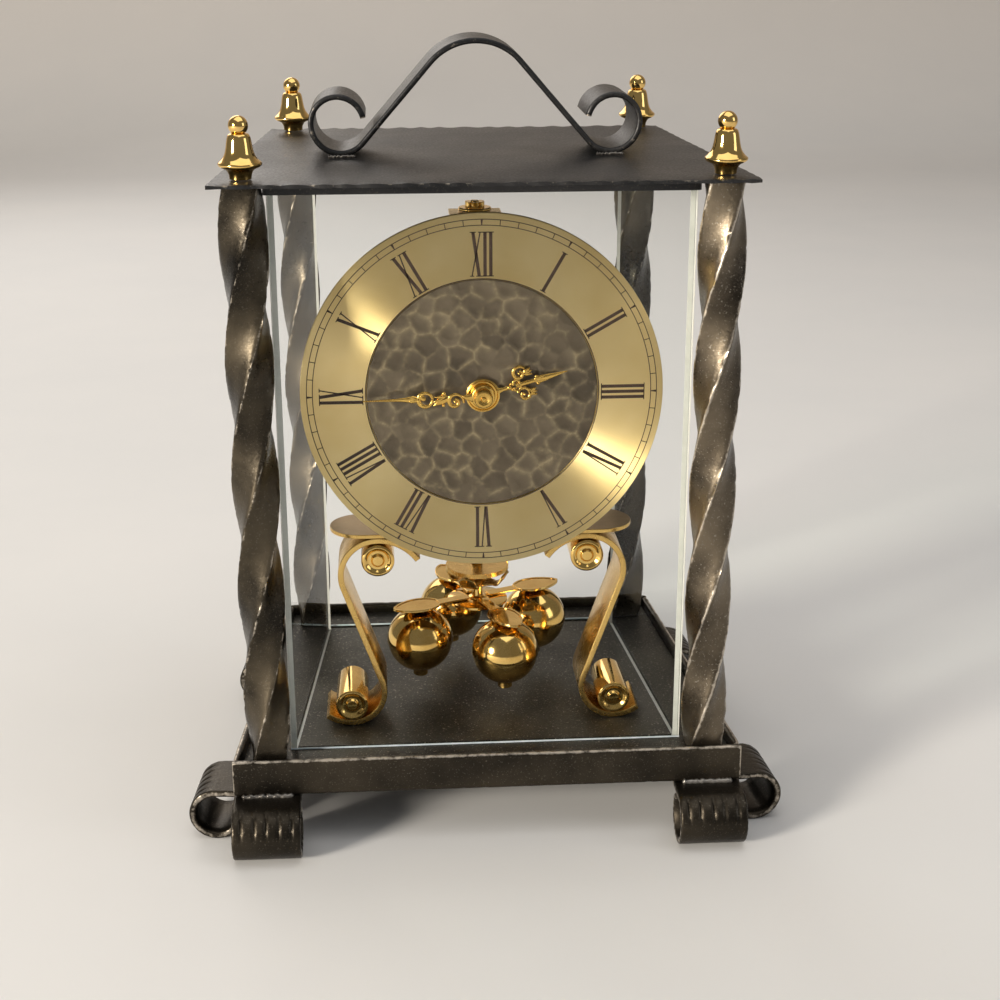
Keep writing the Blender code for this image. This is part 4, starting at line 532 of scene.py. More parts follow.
class Surface:
    """A material and its nodes, built with short calls."""

    def __init__(self, name):
        self.material = bpy.data.materials.new(name)
        self.material.use_nodes = True
        self.tree = self.material.node_tree
        self.shader = self.tree.nodes["Principled BSDF"]

    def set(self, **values):
        """Sets or links sockets of the shader, with spaces in their names written as underscores."""
        for name, value in values.items():
            self.put(self.shader.inputs[name.replace("_", " ")], value)
        return self.material

    def put(self, socket, value):
        """Links a socket to another node's output, or sets its value."""
        if isinstance(value, bpy.types.NodeSocket):
            self.tree.links.new(value, socket)
        else:
            socket.default_value = value

    def node(self, kind, inputs=None, **settings):
        """A node of a kind, with its settings made and its inputs set or linked."""
        made = self.tree.nodes.new("ShaderNode" + kind)
        for name, value in settings.items():
            setattr(made, name, value)
        for name, value in (inputs or {}).items():
            self.put(made.inputs[name], value)
        return made

    def place(self):
        return self.node("TexCoord").outputs["Object"]

    def noise(self, scale, detail=3.0, roughness=0.55, stretch=None):
        """Noise over the surface, from 0 to 1. stretch scales the place along each axis."""
        at = self.place()
        if stretch:
            at = self.node("Mapping", {"Vector": at, "Scale": stretch}).outputs["Vector"]
        return self.node("TexNoise", {"Vector": at, "Scale": scale, "Detail": detail,
                                      "Roughness": roughness}).outputs["Fac"]

    def ramp(self, value, low, high, from_low=0.0, from_high=1.0):
        """A value mapped from one range to another, and kept inside it."""
        return self.node("MapRange", {"Value": value, "From Min": from_low, "From Max": from_high,
                                      "To Min": low, "To Max": high}, clamp=True).outputs["Result"]

    def maths(self, operation, first, second=0.0):
        return self.node("Math", {0: first, 1: second}, operation=operation).outputs[0]

    def mix(self, share, first, second):
        """A colour between two others."""
        made = self.node("Mix", data_type="RGBA")
        self.put(made.inputs[0], share)
        for socket, colour in ((made.inputs[6], first), (made.inputs[7], second)):
            self.put(socket, colour if isinstance(colour, bpy.types.NodeSocket) else (*colour, 1.0))
        return made.outputs[2]

    def attribute(self, name):
        return self.node("Attribute", attribute_name=name).outputs["Fac"]

    def bump(self, height, distance, strength=1.0, below=None):
        inputs = {"Height": height, "Distance": distance, "Strength": strength}
        if below:
            inputs["Normal"] = below
        return self.node("Bump", inputs).outputs["Normal"]


def make_iron(name, dark, light, speck=0.35, rough=0.40):
    """Blackened iron with a faint bronze sheen, forge texture, dust, and bright edges that are partly
    rubbed and partly painted highlight.
    """
    s = Surface(name)
    broad, fine, forged = s.noise(28, 4), s.noise(1100, 3), s.noise(150, 4, 0.6)
    colour = s.mix(s.ramp(broad, 0, 1, 0.35, 0.68), dark, light)
    specks = s.ramp(s.noise(1500, 2), 0, speck, 0.62, 0.72)
    colour = s.mix(specks, colour, (0.24, 0.21, 0.17))
    crumbs = s.ramp(s.noise(1050, 1, 0.5), 0, speck * speck, 0.69, 0.72)
    colour = s.mix(crumbs, colour, (0.30, 0.27, 0.22))
    nicks = s.ramp(s.noise(330, 4, 0.65), -0.32, 0.22, 0.30, 0.68)
    # Bright edges: real rubbing and nicks, plus painted highlight on the feet's groove lips and the
    # front-right column's arrises.
    worn_and_highlit = s.ramp(s.maths("ADD", s.attribute("wear_and_highlight"), nicks), 0, 0.9, 0.62, 0.95)
    colour = s.mix(worn_and_highlit, colour, (0.56, 0.50, 0.42))
    roughness = s.maths("ADD", s.ramp(fine, rough - 0.06, rough + 0.09, 0.3, 0.7),
                        s.ramp(broad, -0.04, 0.06, 0.35, 0.65))
    normal = s.bump(fine, GRAIN_BUMP, 0.6, s.bump(forged, FORGE_BUMP, 0.45))
    return s.set(Base_Color=colour, Metallic=0.9, Roughness=roughness, Normal=normal)


def make_brass(name, colour, deep, rough, grain=None):
    """Lacquered brass with cloudy tarnish and fine marks. grain stretches the marks one way."""
    s = Surface(name)
    cloud = s.noise(55, 4, 0.6)
    marks = s.noise(420 if grain else 1300, 4, 0.7, stretch=grain)
    tone = s.mix(s.ramp(cloud, 0, 1, 0.38, 0.72), colour, deep)
    spots = s.ramp(s.noise(760, 2), 0, 0.55, 0.70, 0.78)
    tone = s.mix(spots, tone, tuple(value * 0.45 for value in deep))
    roughness = s.maths("ADD", s.ramp(cloud, rough - 0.02, rough + 0.05, 0.35, 0.7),
                        s.ramp(marks, -0.02, 0.05, 0.35, 0.7))
    return s.set(Base_Color=tone, Metallic=1.0, Roughness=roughness,
                 Normal=s.bump(marks, SCRATCH_BUMP, 0.3))


def make_dial_brass():
    """Spun brass: fine circles about the dial's centre, which draw the light out into fans."""
    s = Surface("spun_brass")
    flat = s.node("VectorMath", {0: s.place(), 1: (1.0, 0.0, 1.0)}, operation="MULTIPLY")
    radius = s.node("VectorMath", {0: flat.outputs[0]}, operation="LENGTH").outputs["Value"]
    inputs = {"W": s.maths("MULTIPLY", radius, 9000.0), "Scale": 1.0, "Detail": 3.0, "Roughness": 0.7}
    circles = s.node("TexNoise", inputs, noise_dimensions="1D").outputs["Fac"]
    tone = s.mix(s.ramp(s.noise(40, 3), 0, 1, 0.35, 0.7), (0.80, 0.64, 0.33), (0.72, 0.55, 0.25))
    tone = s.mix(s.ramp(circles, 0, 0.35, 0.3, 0.75), tone, (0.52, 0.38, 0.17))
    tangent = s.node("Tangent", direction_type="RADIAL", axis="Y").outputs["Tangent"]
    return s.set(Base_Color=tone, Metallic=1.0, Roughness=s.ramp(circles, 0.34, 0.42, 0.3, 0.7),
                 Anisotropic=1.0, Anisotropic_Rotation=0.25, Tangent=tangent,
                 Normal=s.bump(circles, SPUN_BUMP, 0.25))


def make_pewter():
    """Hammered, patinated metal: dark hollows between paler worn ridges, and a random tone per hammer
    facet that is painted sheen.
    """
    s = Surface("hammered_pewter")
    cloud, fine = s.noise(60, 4, 0.6), s.noise(520, 4, 0.65)
    # Patina clouds, plus a random tone per hammer strike that paints each facet's sheen.
    patina_and_facet_sheen = s.maths("ADD", s.ramp(cloud, 0, 0.6, 0.35, 0.68), s.ramp(s.attribute("struck"), 0, 0.5))
    tone = s.mix(patina_and_facet_sheen, (0.080, 0.064, 0.047), (0.185, 0.148, 0.104))
    faded = s.maths("MULTIPLY", s.ramp(fine, 0.4, 1.2, 0.3, 0.68),
                    s.ramp(s.noise(150, 3), 0.1, 1.3, 0.36, 0.62))
    ridge = s.maths("MULTIPLY", s.attribute("ridge"), faded)
    tone = s.mix(s.ramp(ridge, 0, 0.8, 0.05, 1.0), tone, (0.36, 0.29, 0.18))
    return s.set(Base_Color=tone, Metallic=0.8, Roughness=s.ramp(fine, 0.32, 0.46, 0.3, 0.7),
                 Normal=s.bump(fine, PEWTER_BUMP, 0.5))


def make_steel():
    """Greyed steel with marks drawn along it."""
    s = Surface("blued_steel")
    marks = s.noise(500, 4, 0.7, stretch=(1.0, 6.0, 1.0))
    tone = s.mix(s.ramp(s.noise(90), 0, 1, 0.35, 0.7), (0.50, 0.50, 0.51), (0.36, 0.36, 0.38))
    return s.set(Base_Color=tone, Metallic=1.0, Roughness=s.ramp(marks, 0.20, 0.36, 0.3, 0.7),
                 Normal=s.bump(marks, SCRATCH_BUMP, 0.4))


def make_ink():
    """Brown-black printing, slightly uneven."""
    s = Surface("dial_ink")
    grain = s.noise(2200, 2)
    tone = s.mix(s.ramp(grain, 0, 1, 0.35, 0.7), (0.030, 0.016, 0.011), (0.055, 0.030, 0.020))
    return s.set(Base_Color=tone, Roughness=s.ramp(grain, 0.38, 0.55, 0.3, 0.7),
                 Specular_IOR_Level=0.4)


def make_glass():
    """Clear glass that lets the lamps through, with a breath of dust."""
    s = Surface("clear_glass")
    smear = s.ramp(s.noise(14, 4, 0.6), 0, 1, 0.4, 0.7)
    s.set(Base_Color=s.mix(smear, (0.985, 0.992, 0.990), (0.975, 0.985, 0.982)),
          Roughness=0.0, IOR=1.02, Transmission_Weight=1.0)
    path = s.node("LightPath")
    passing = s.maths("MAXIMUM", path.outputs["Is Shadow Ray"], path.outputs["Is Diffuse Ray"])
    clear = s.node("BsdfTransparent", {"Color": (0.95, 0.97, 0.96, 1.0)})
    both = s.node("MixShader", {0: passing, 1: s.shader.outputs[0], 2: clear.outputs[0]})
    s.put(s.tree.nodes["Material Output"].inputs["Surface"], both.outputs[0])
    return s.material


def make_glass_edge(name, colour, deep):
    """The ground edge of a pane, or the light that runs along its foot."""
    s = Surface(name)
    grain = s.noise(300, 3)
    return s.set(Base_Color=s.mix(s.ramp(grain, 0, 1, 0.3, 0.7), colour, deep),
                 Roughness=s.ramp(grain, 0.25, 0.45, 0.3, 0.7))


def make_floor():
    """A pale floor that turns warmer as it rises behind the clock."""
    s = Surface("pale_floor")
    cloud = s.noise(6, 4)
    tone = s.mix(s.ramp(cloud, 0, 1, 0.3, 0.7), (0.80, 0.79, 0.78), (0.77, 0.765, 0.76))
    height = s.node("SeparateXYZ", {0: s.place()}).outputs["Z"]
    tone = s.mix(s.ramp(height, 0, 1, 0.02, 0.5), tone, (0.74, 0.66, 0.59))
    return s.set(Base_Color=tone, Roughness=s.ramp(cloud, 0.75, 0.9, 0.3, 0.7),
                 Specular_IOR_Level=0.2, Normal=s.bump(s.noise(500, 3), FLOOR_BUMP, 0.15))


# ---------------------------------------------------------------- the case

Extent = namedtuple("Extent", "low high middle half")


def extent(node):
    """A node's low and high corners, its middle and its half sizes."""
    low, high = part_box(node)
    return Extent(low, high, (low + high) / 2, (high - low) / 2)


def middle_of(node):
    """The middle of a node's box."""
    return extent(node).middle


dial_middle = middle_of("dial_centre")
front_column, rear_column = middle_of("column_front_right"), middle_of("column_rear_right")
case_taper = (front_column.x - rear_column.x) / (rear_column.y - front_column.y)
taper_angle = math.atan(case_taper)


def case_half(y, outside=0.0):
    """Half the width of the case at a depth, taken outside the line through the columns."""
    return front_column.x - case_taper * (y - front_column.y) + outside


def case_outline(front_y, rear_y, outside):
    """The case's tapering plan between two depths."""
    front, rear = case_half(front_y, outside), case_half(rear_y, outside)
    return [(-front, front_y), (front, front_y), (rear, rear_y), (-rear, rear_y)]


def case_side(half_depth, outside, thickness, side):
    """The plan of an upright piece along one side of the case; side is 1 for the right."""
    return [(side * case_half(y, outside - inset), y)
            for y, inset in ((-half_depth, 0.0), (half_depth, 0.0),
                             (half_depth, thickness), (-half_depth, thickness))]


def cut_corners(outline, cut):
    """An outline with each corner replaced by two points, a given way along its two edges."""
    points = []
    for i, corner in enumerate(outline):
        for neighbour in (outline[i - 1], outline[(i + 1) % len(outline)]):
            along = (Vector(neighbour) - Vector(corner)).normalized()
            points.append(tuple(Vector(corner) + along * cut))
    return points


def foot_places(half_width):
    """Where each foot's strip leaves the frame: x, y and its turn about the upright."""
    half_y = -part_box("base_strip_front")[0].y
    behind = (half_y - FOOT_TAB_REACH - SEAT_GAP - half_width * math.cos(taper_angle)
              - FOOT_TAB_REACH * math.sin(taper_angle))
    places = {}
    for sign, side, turn in ((-1, "left", math.pi - taper_angle), (1, "right", taper_angle)):
        for facing, end in ((-1, "front"), (1, "rear")):
            at_end = case_half(facing * half_y, FRAME_OVERHANG_X) - half_width
            places[f"{end}_{side}"] = (sign * at_end, facing * half_y, facing * math.pi / 2)
            beside = case_half(facing * behind, FRAME_OVERHANG_X)
            places[f"{side}_{end}"] = (sign * beside, facing * behind, turn)
    return places


def make_feet(iron, weld_iron):
    """Scroll feet with forged grooves over the roll, welded under the frame strips."""
    foot = extent("foot_front_left")
    half_width, thin = foot.half.x, FOOT_STRIP_THICKNESS / 2
    path = [(FOOT_TAB_REACH * (i / 4 - 1), foot.high.z - thin) for i in range(8)]
    roll = ("arc", foot.half.z - thin - FOOT_FLOOR_GAP, -FOOT_ROLL_DEG)
    path += trace((FOOT_ROLL_STANDOFF, foot.high.z - thin), 0, roll)
    section = strip_section(thin, half_width, STRIP_ROUNDING, 44)
    for number, (name, (x, y, turn)) in enumerate(foot_places(half_width).items()):
        rng = random.Random(number + 3)
        grooves = [(i - (FOOT_GROOVES - 1) / 2) * half_width * FOOT_GROOVE_PITCH_SHARE
                   + rng.uniform(-FOOT_GROOVE_SHIFT, FOOT_GROOVE_SHIFT) for i in range(FOOT_GROOVES)]
        seed = number * 3.1

        def groove_at(share, width):
            over_top = math.exp(-((share - 0.24) / 0.08) ** 2)
            return over_top * sum(math.exp(-((width - groove) / FOOT_GROOVE_WIDTH) ** 2)
                                  for groove in grooves)

        def shape(share, across, width):
            dent = abs(ripple(share * 14 + seed, width * 90, 0)) * FORGE_DENT
            if across > 0:
                dent += FOOT_GROOVE_DEPTH * groove_at(share, width)
            edge = abs(ripple(share * 20 + seed, math.copysign(3.0, width), 5)) * FOOT_RIM_DENT
            return across - math.copysign(dent, across), width - math.copysign(edge, width)

        bm = bmesh.new()
        wear_and_highlight = []
        for share, across, width in swept(bm, path, section, shape):
            # Painted highlight on the lips beside the grooves. The rims and the rolled end are rubbed
            # bright.
            groove_lip_highlight = groove_at(share, width - FOOT_GROOVE_LIP) if across > 0 else 0.0
            wear_and_highlight.append(min(1.0, rim_share(width, half_width) * 0.80 + groove_lip_highlight * 0.25
                            + (0.8 if share > 1 - FOOT_END_SHARE else 0.0)))
        make_piece("scroll_foot_" + name, bm, iron, "wrought_iron", "foot_" + name,
                   place=(x, y, 0.0), turn=(0, 0, turn), smooth_deg=60, wear_and_highlight=wear_and_highlight)
        along = Vector((-math.sin(turn), math.cos(turn), 0)) * (half_width - WELD_INSET)
        middle = Vector((*polar((x, y), WELD_OFFSET, math.degrees(turn)),
                         foot.high.z + SEAT_GAP / 2))
        make_weld("weld_" + name, middle - along, middle + along, weld_iron, WELD_RADIUS, number + 20)


def make_weld(name, start, end, iron, radius, seed, steps=26, sides=12):
    """A rough run of weld between two pieces of iron."""
    rng = random.Random(seed)
    side = (end - start).normalized().cross(Vector((0, 0, 1))).normalized()
    bm = bmesh.new()
    rows = []
    for i in range(steps + 1):
        swell = radius * (0.25 if i in (0, steps) else rng.uniform(0.65, 1.1))
        middle = start.lerp(end, i / steps) + Vector((0, 0, rng.uniform(-WELD_WANDER, WELD_WANDER)))
        row = []
        for k in range(sides):
            across, up = polar((0.0, 0.0), swell * rng.uniform(0.82, 1.1), 360 * k / sides)
            row.append(middle + side * across + Vector((0, 0, up)))
        rows.append(row)
    skin(bm, rows)
    make_piece(name, bm, iron, "wrought_iron", smooth_deg=70)


def make_strips(iron):
    """The four strips on edge, with hammered rims that are rubbed bright on top."""
    strip = extent("base_strip_front")
    thick, height = strip.half.y * 2, strip.half.z * 2
    end_y = -strip.low.y - thick / 2
    side_half = -strip.low.y - thick * (1 + case_taper / 2) - SEAT_GAP
    side_x = case_half(0.0, FRAME_OVERHANG_X - thick / 2)
    side_length = 2 * side_half / math.cos(taper_angle)
    runs = [("front", (0, -end_y), math.pi, 2 * case_half(-end_y, FRAME_OVERHANG_X)),
            ("rear", (0, end_y), 0.0, 2 * case_half(end_y, FRAME_OVERHANG_X)),
            ("left", (-side_x, 0), math.pi / 2 - taper_angle, side_length),
            ("right", (side_x, 0), taper_angle - math.pi / 2, side_length)]
    section = strip_section(thick / 2, height / 2, STRIP_ROUNDING, 14)
    for number, (side, (x, y), turn, length) in enumerate(runs):
        steps = int(length / STRIP_STEP)
        bm = bmesh.new()
        rows, wear_and_highlight = [], []
        for i in range(steps + 1):
            along = -length / 2 + length * i / steps
            end = min(i, steps - i)
            pinch = STRIP_PINCH_SHARES[end] if end < len(STRIP_PINCH_SHARES) else 0.0
            row = []
            for across, up in section:
                dent = max(0.0, ripple(along * 130, up * 60, number * 5.0)) * STRIP_DENT
                rim = max(0.0, ripple(along * 260, math.copysign(2, up), number * 7 + 2))
                rubbed = up > height * 0.43 and across > 0
                wear_and_highlight.append(1.0 if end < 1 else (0.90 if rubbed else 0.0))
                row.append((along, (across - math.copysign(dent, across)) * (1 - pinch),
                            up * (1 - pinch * 0.3) - math.copysign(rim * STRIP_RIM_DENT, up)))
            rows.append(row)
        skin(bm, rows)
        make_piece("frame_strip_" + side, bm, iron, "wrought_iron", "base_strip_" + side,
                   place=(x, y, strip.middle.z), turn=(0, 0, turn), smooth_deg=60, wear_and_highlight=wear_and_highlight)


def paint(node, material):
    """Gives a CAD node that stays in view its finished material."""
    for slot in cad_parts[node].material_slots:
        slot.link = "OBJECT"
        slot.material = material


def make_columns(iron, painted_sheen_iron):
    """Twisted square bars with hammered arrises that wander a little."""
    half = COLUMN_BAR / 2
    flat = half - COLUMN_ROUNDING * 0.45
    for number, name in enumerate(CORNERS):
        bar = extent("column_" + name)
        bm = bmesh.new()
        rows, wear_and_highlight = [], []
        for step in range(COLUMN_STEPS + 1):
            share = step / COLUMN_STEPS
            up = 2 * bar.half.z * share
            row = []
            for side in range(4):
                turn = math.radians(90) * (COLUMN_QUARTER_TURNS * share + side)
                cos, sin = math.cos(turn), math.sin(turn)
                for k in range(COLUMN_FACE_POINTS):
                    v = -flat + 2 * flat * k / (COLUMN_FACE_POINTS - 1)
                    edge = abs(v) / flat
                    dent = ripple(up * 55 + side * 9.1, v * 70, number * 13.7)
                    ridge = min(0.05, ripple(up * 240, side * 5.3 + (k > 4) * 1.7, number * 3.3))
                    u = (half - COLUMN_ROUNDING * 0.30 * edge ** 10 - COLUMN_HOLLOW * (1 - edge ** 2)
                         + dent * COLUMN_DENT + ridge * COLUMN_RIDGE * edge ** 6)
                    v *= 1 + ridge * 0.05 * edge ** 6
                    # The front-right column's arrises are brighter than the others': painted
                    # highlight for the light that column catches.
                    wear_and_highlight.append(edge ** 8 * (1.0 if name == "front_right" else 0.72))
                    row.append((bar.middle.x + u * cos - v * sin,
                                bar.middle.y + u * sin + v * cos, bar.low.z + up))
            rows.append(row)
        skin(bm, rows)
        # The front-right column takes a lighter copy of the iron: painted sheen.
        make_piece("twisted_column_" + name, bm, painted_sheen_iron if name == "front_right" else iron,
                   "wrought_iron", "column_" + name, smooth_deg=75, wear_and_highlight=wear_and_highlight)


def scallop(along, across_share, seed):
    """How far the chisel bit into an edge at a place along it, from 0 to 1."""
    wander = ripple(along * 60, across_share * 3, seed) * 0.5
    return 0.5 - 0.5 * math.cos(2 * math.pi * (along / TOP_SCALLOP + wander))


def make_top(iron):
    """The top sheet: chiselled, scalloped edges, a slightly dished surface, and the channel."""
    low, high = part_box("top_plate")
    under = high.z - TOP_THICKNESS
    bm = bmesh.new()
    upper, lower, rims = {}, {}, []
    columns, lines = TOP_COLUMNS, TOP_LINES
    for i in range(columns + 1):
        for j in range(lines + 1):
            u, v = 2 * i / columns - 1, 2 * j / lines - 1
            x, y = u * case_half(v * high.y, TOP_OVERHANG), v * high.y
            rim_x, rim_y = abs(u) ** 24, abs(v) ** 24
            bite_x, bite_y = scallop(y, u, 1), scallop(x, v, 7)
            chip = abs(ripple(y * 500, 3, u)) * TOP_CHIP
            x -= math.copysign(rim_x * (TOP_SCALLOP_DEPTH_X * bite_x + chip), u)
            chip = abs(ripple(x * 500, 3, v)) * TOP_CHIP
            y -= math.copysign(rim_y * (TOP_SCALLOP_DEPTH_Y * bite_y + chip), v)
            edge = max(rim_x * (0.35 + 0.15 * bite_x), rim_y * (0.35 + 0.65 * bite_y))
            swell = (ripple(x * 45, y * 45, 2) - 1) * TOP_SWELL
            upper[i, j] = (x, y, high.z + swell * (1 - edge) - TOP_RIM_DROP * edge)
            lower[i, j] = (x, y, under + TOP_RIM_RISE * edge)
            rims.append(edge)
    upper = {key: bm.verts.new(point) for key, point in upper.items()}
    lower = {key: bm.verts.new(point) for key, point in lower.items()}
    for i in range(columns):
        for j in range(lines):
            bm.faces.new((upper[i, j], upper[i + 1, j], upper[i + 1, j + 1], upper[i, j + 1]))
            bm.faces.new((lower[i, j], lower[i, j + 1], lower[i + 1, j + 1], lower[i + 1, j]))
    border = ([(i, 0) for i in range(columns)] + [(columns, j) for j in range(lines)]
              + [(i, lines) for i in range(columns, 0, -1)] + [(0, j) for j in range(lines, 0, -1)])
    for here, following in zip(border, border[1:] + border[:1]):
        bm.faces.new((lower[here], lower[following], upper[following], upper[here]))
    make_piece("hammered_top", bm, iron, "wrought_iron", "top_plate", smooth_deg=50,
               wear_and_highlight=[edge * 0.72 for edge in rims] + [edge * 0.5 for edge in rims])

    pane_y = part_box("glass_rear")[1].y
    insets = {"outer": -RUNNING_GAP - CHANNEL_WALL, "inner": GLASS_THICKNESS + RUNNING_GAP}
    for name, inset in insets.items():
        walls = [case_outline(face - pane_y, pane_y - face, -GLASS_SETBACK - face)
                 for face in (inset, inset + CHANNEL_WALL)]
        if name == "outer":
            walls[0] = cut_corners(walls[0], CHANNEL_CORNER_CUT)
        make_piece("glazing_channel_" + name, flat_solid(walls, low.z, under - CHANNEL_TOP_GAP), iron,
                   "wrought_iron", bevel=FINEST_EDGE)


def make_handle(iron, weld_iron):
    """The carry handle: one forged strip, arched in the middle and rolled up at both ends."""
    handle = extent("carry_handle")
    half_width, height = handle.half.y, handle.half.z * 2
    slope = math.radians(HANDLE_SLOPE_DEG)
    bend_drop = (HANDLE_CROWN_RADIUS + HANDLE_HEEL_RADIUS) * (1 - math.cos(slope))
    straight = (height - HANDLE_THICKNESS - bend_drop) / math.sin(slope)
    half = trace((0.0, height - HANDLE_THICKNESS / 2), 0,
                 ("arc", HANDLE_CROWN_RADIUS, -HANDLE_SLOPE_DEG), ("run", straight, 16),
                 ("arc", HANDLE_HEEL_RADIUS, HANDLE_SLOPE_DEG + 90),
                 ("arc", HANDLE_SCROLL_RADIUS, HANDLE_SCROLL_DEG))
    path = [(-x, z) for x, z in reversed(half[1:])] + half

    def shape(share, across, width):
        dent = abs(ripple(share * 45, width * 90, 4)) * FORGE_DENT
        edge = abs(ripple(share * 70, math.copysign(2, width), 9)) * HANDLE_RIM_DENT
        ragged = ripple(width * 400, math.copysign(3, share - 0.5), 1) * HANDLE_RAGGED_SHARE
        narrowed = 0.03 * math.exp(-min(share, 1 - share) * 300)
        return (across * (1 - dent / HANDLE_THICKNESS),
                (width - math.copysign(edge, width)) * (1 - narrowed - ragged))

    bm = bmesh.new()
    section = strip_section(HANDLE_THICKNESS / 2, half_width, HANDLE_ROUNDING, 24, 24)
    wear_and_highlight = [rim_share(width, half_width) * 0.55
            + (0.9 if min(share, 1 - share) < HANDLE_END_SHARE else 0.0)
            for share, across, width in swept(bm, path, section, shape)]
    make_piece("forged_handle", bm, iron, "wrought_iron", "carry_handle",
               place=(0, 0, handle.low.z), smooth_deg=60, wear_and_highlight=wear_and_highlight)
    contact = min(half, key=lambda point: point[1])[0]
    for side, x in (("left", -contact), ("right", contact)):
        for end, facing in (("front", -1), ("rear", 1)):
            y = facing * (half_width - HANDLE_WELD_INSET)
            start, stop = (Vector((x + reach, y, handle.low.z))
                           for reach in (-HANDLE_WELD_REACH, HANDLE_WELD_REACH))
            make_weld(f"handle_weld_{side}_{end}", start, stop, weld_iron, HANDLE_WELD_RADIUS,
                      60 + facing)


def make_finials(brass):
    """Polished bells with a ball on top."""
    for name in CORNERS:
        bell = extent("finial_" + name)
        radius, height = bell.half.x, bell.half.z * 2
        ball = radius * FINIAL_BALL_SHARE
        profile = [(radius * across, height * up) for across, up in FINIAL_SHARES]
        profile += [polar((0.0, height - ball), ball, angle) for angle in range(-50, 90, 7)]
        make_piece("bell_finial_" + name, lathe(profile + [(0.0, height)], 64), brass,
                   "polished_brass", "finial_" + name,
                   place=(bell.middle.x, bell.middle.y, bell.low.z),
                   smooth_deg=50)


def make_panes(glass, glass_edge, glass_line):
    """Four clear panes with ground edges, and the line of light along the foot of two."""
    low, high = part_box("glass_front")
    outer_y, inner_y = -low.y, -low.y - GLASS_THICKNESS
    side_half = inner_y - SEAT_GAP
    plans = {"front": case_outline(-outer_y, -inner_y, -GLASS_SETBACK),
             "rear": case_outline(inner_y, outer_y, -GLASS_SETBACK),
             "left": case_side(side_half, -GLASS_SETBACK, GLASS_THICKNESS, -1),
             "right": case_side(side_half, -GLASS_SETBACK, GLASS_THICKNESS, 1)}
    bodies = {"rear": "rear_glass"}
    for side, plan in plans.items():
        bm = flat_solid([plan], low.z, high.z)
        for face in sorted(bm.faces, key=lambda face: face.calc_area())[:-2]:
            face.material_index = 1
        pane = make_piece("pane_" + side, bm, glass, "glass", "glass_" + side,
                          body=bodies.get(side, "case"), bevel=FINE_EDGE)
        pane.data.materials.append(glass_edge)
    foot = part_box("base_plate")[1].z + GLASS_LINE_RISE
    lines = {"front": (-outer_y - GLASS_LINE_DEPTH, -outer_y),
             "rear": (outer_y, outer_y + GLASS_LINE_DEPTH)}
    for side, depths in lines.items():
        bm = flat_solid([case_outline(*depths, -GLASS_SETBACK)], foot, foot + GLASS_LINE_HEIGHT)
        make_piece("pane_line_" + side, bm, glass_line, "glass", body=bodies.get(side, "case"))


def leg_path(height, foot_offset):
    """The middle line of the right leg's band, from its toe to the curl under the platform."""
    lean = math.radians(LEG_LEAN_DEG)
    bends = LEG_HEAD_RADIUS + LEG_FOOT_RADIUS
    straight = (height - LEG_THICKNESS - bends * (1 + math.sin(lean))) / math.cos(lean)
    turn = 90 + LEG_LEAN_DEG
    toe = trace((0.0, 0.0), 0, ("arc", LEG_TOE_RADIUS, LEG_TOE_DEG))
    path = trace((0.0, 0.0), 180, ("arc", LEG_FOOT_RADIUS, -turn), ("run", straight, 12),
                 ("arc", LEG_HEAD_RADIUS, turn), ("arc", LEG_CURL_RADIUS, LEG_CURL_DEG))
    return [(x + foot_offset, z + LEG_THICKNESS / 2) for x, z in toe[:0:-1] + path]


def make_support(satin, polished, toned):
    """The S-shaped bands, the turned nuts that clamp them and the platform."""
    for side, sign in (("right", 1), ("left", -1)):
        band = extent("support_leg_" + side)
        nut = middle_of("leg_nut_lower_" + side)
        bm = bmesh.new()
        path = [(sign * x, z) for x, z in leg_path(band.half.z * 2, abs(nut.x))]
        swept(bm, path, rounded_section(LEG_THICKNESS / 2, band.half.y, SOFT_EDGE))
        make_piece("leg_band_" + side, bm, satin, "satin_brass", "support_leg_" + side,
                   place=(0, nut.y, band.low.z), smooth_deg=45)
    for spot in ("upper_left", "upper_right", "lower_left", "lower_right"):
        nut = extent("leg_nut_" + spot)
        face = [(nut.half.z * share, depth - nut.half.y) for share, depth in NUT_FACE]
        face += [(nut.half.z * share, nut.half.y - depth) for share, depth in NUT_BACK]
        make_piece("turned_nut_" + spot, lathe(rounded_profile(face, NUT_ROUNDING), 72, along="Y"),
                   polished, "polished_brass", "leg_nut_" + spot, place=nut.middle)
    plate = extent("platform")
    end = [polar((plate.half.x - plate.half.y, 0.0), plate.half.y, angle)
           for angle in range(-90, 91, ARC_STEP_DEG)]
    bm = flat_solid([end + [(-x, -y) for x, y in end]], plate.low.z, plate.high.z)
    for face in bm.faces:
        face.material_index = 1 if len(face.verts) > 4 else 0
    piece = make_piece("support_platform", bm, satin, "satin_brass", "platform", bevel=SOFT_EDGE,
                       place=(plate.middle.x, plate.middle.y, 0.0))
    piece.data.materials.append(toned)


# ---------------------------------------------------------------- the dial

def on_dial(y=0.0):
    """The point on the dial's axis at a depth."""
    return (dial_middle.x, y, dial_middle.z)


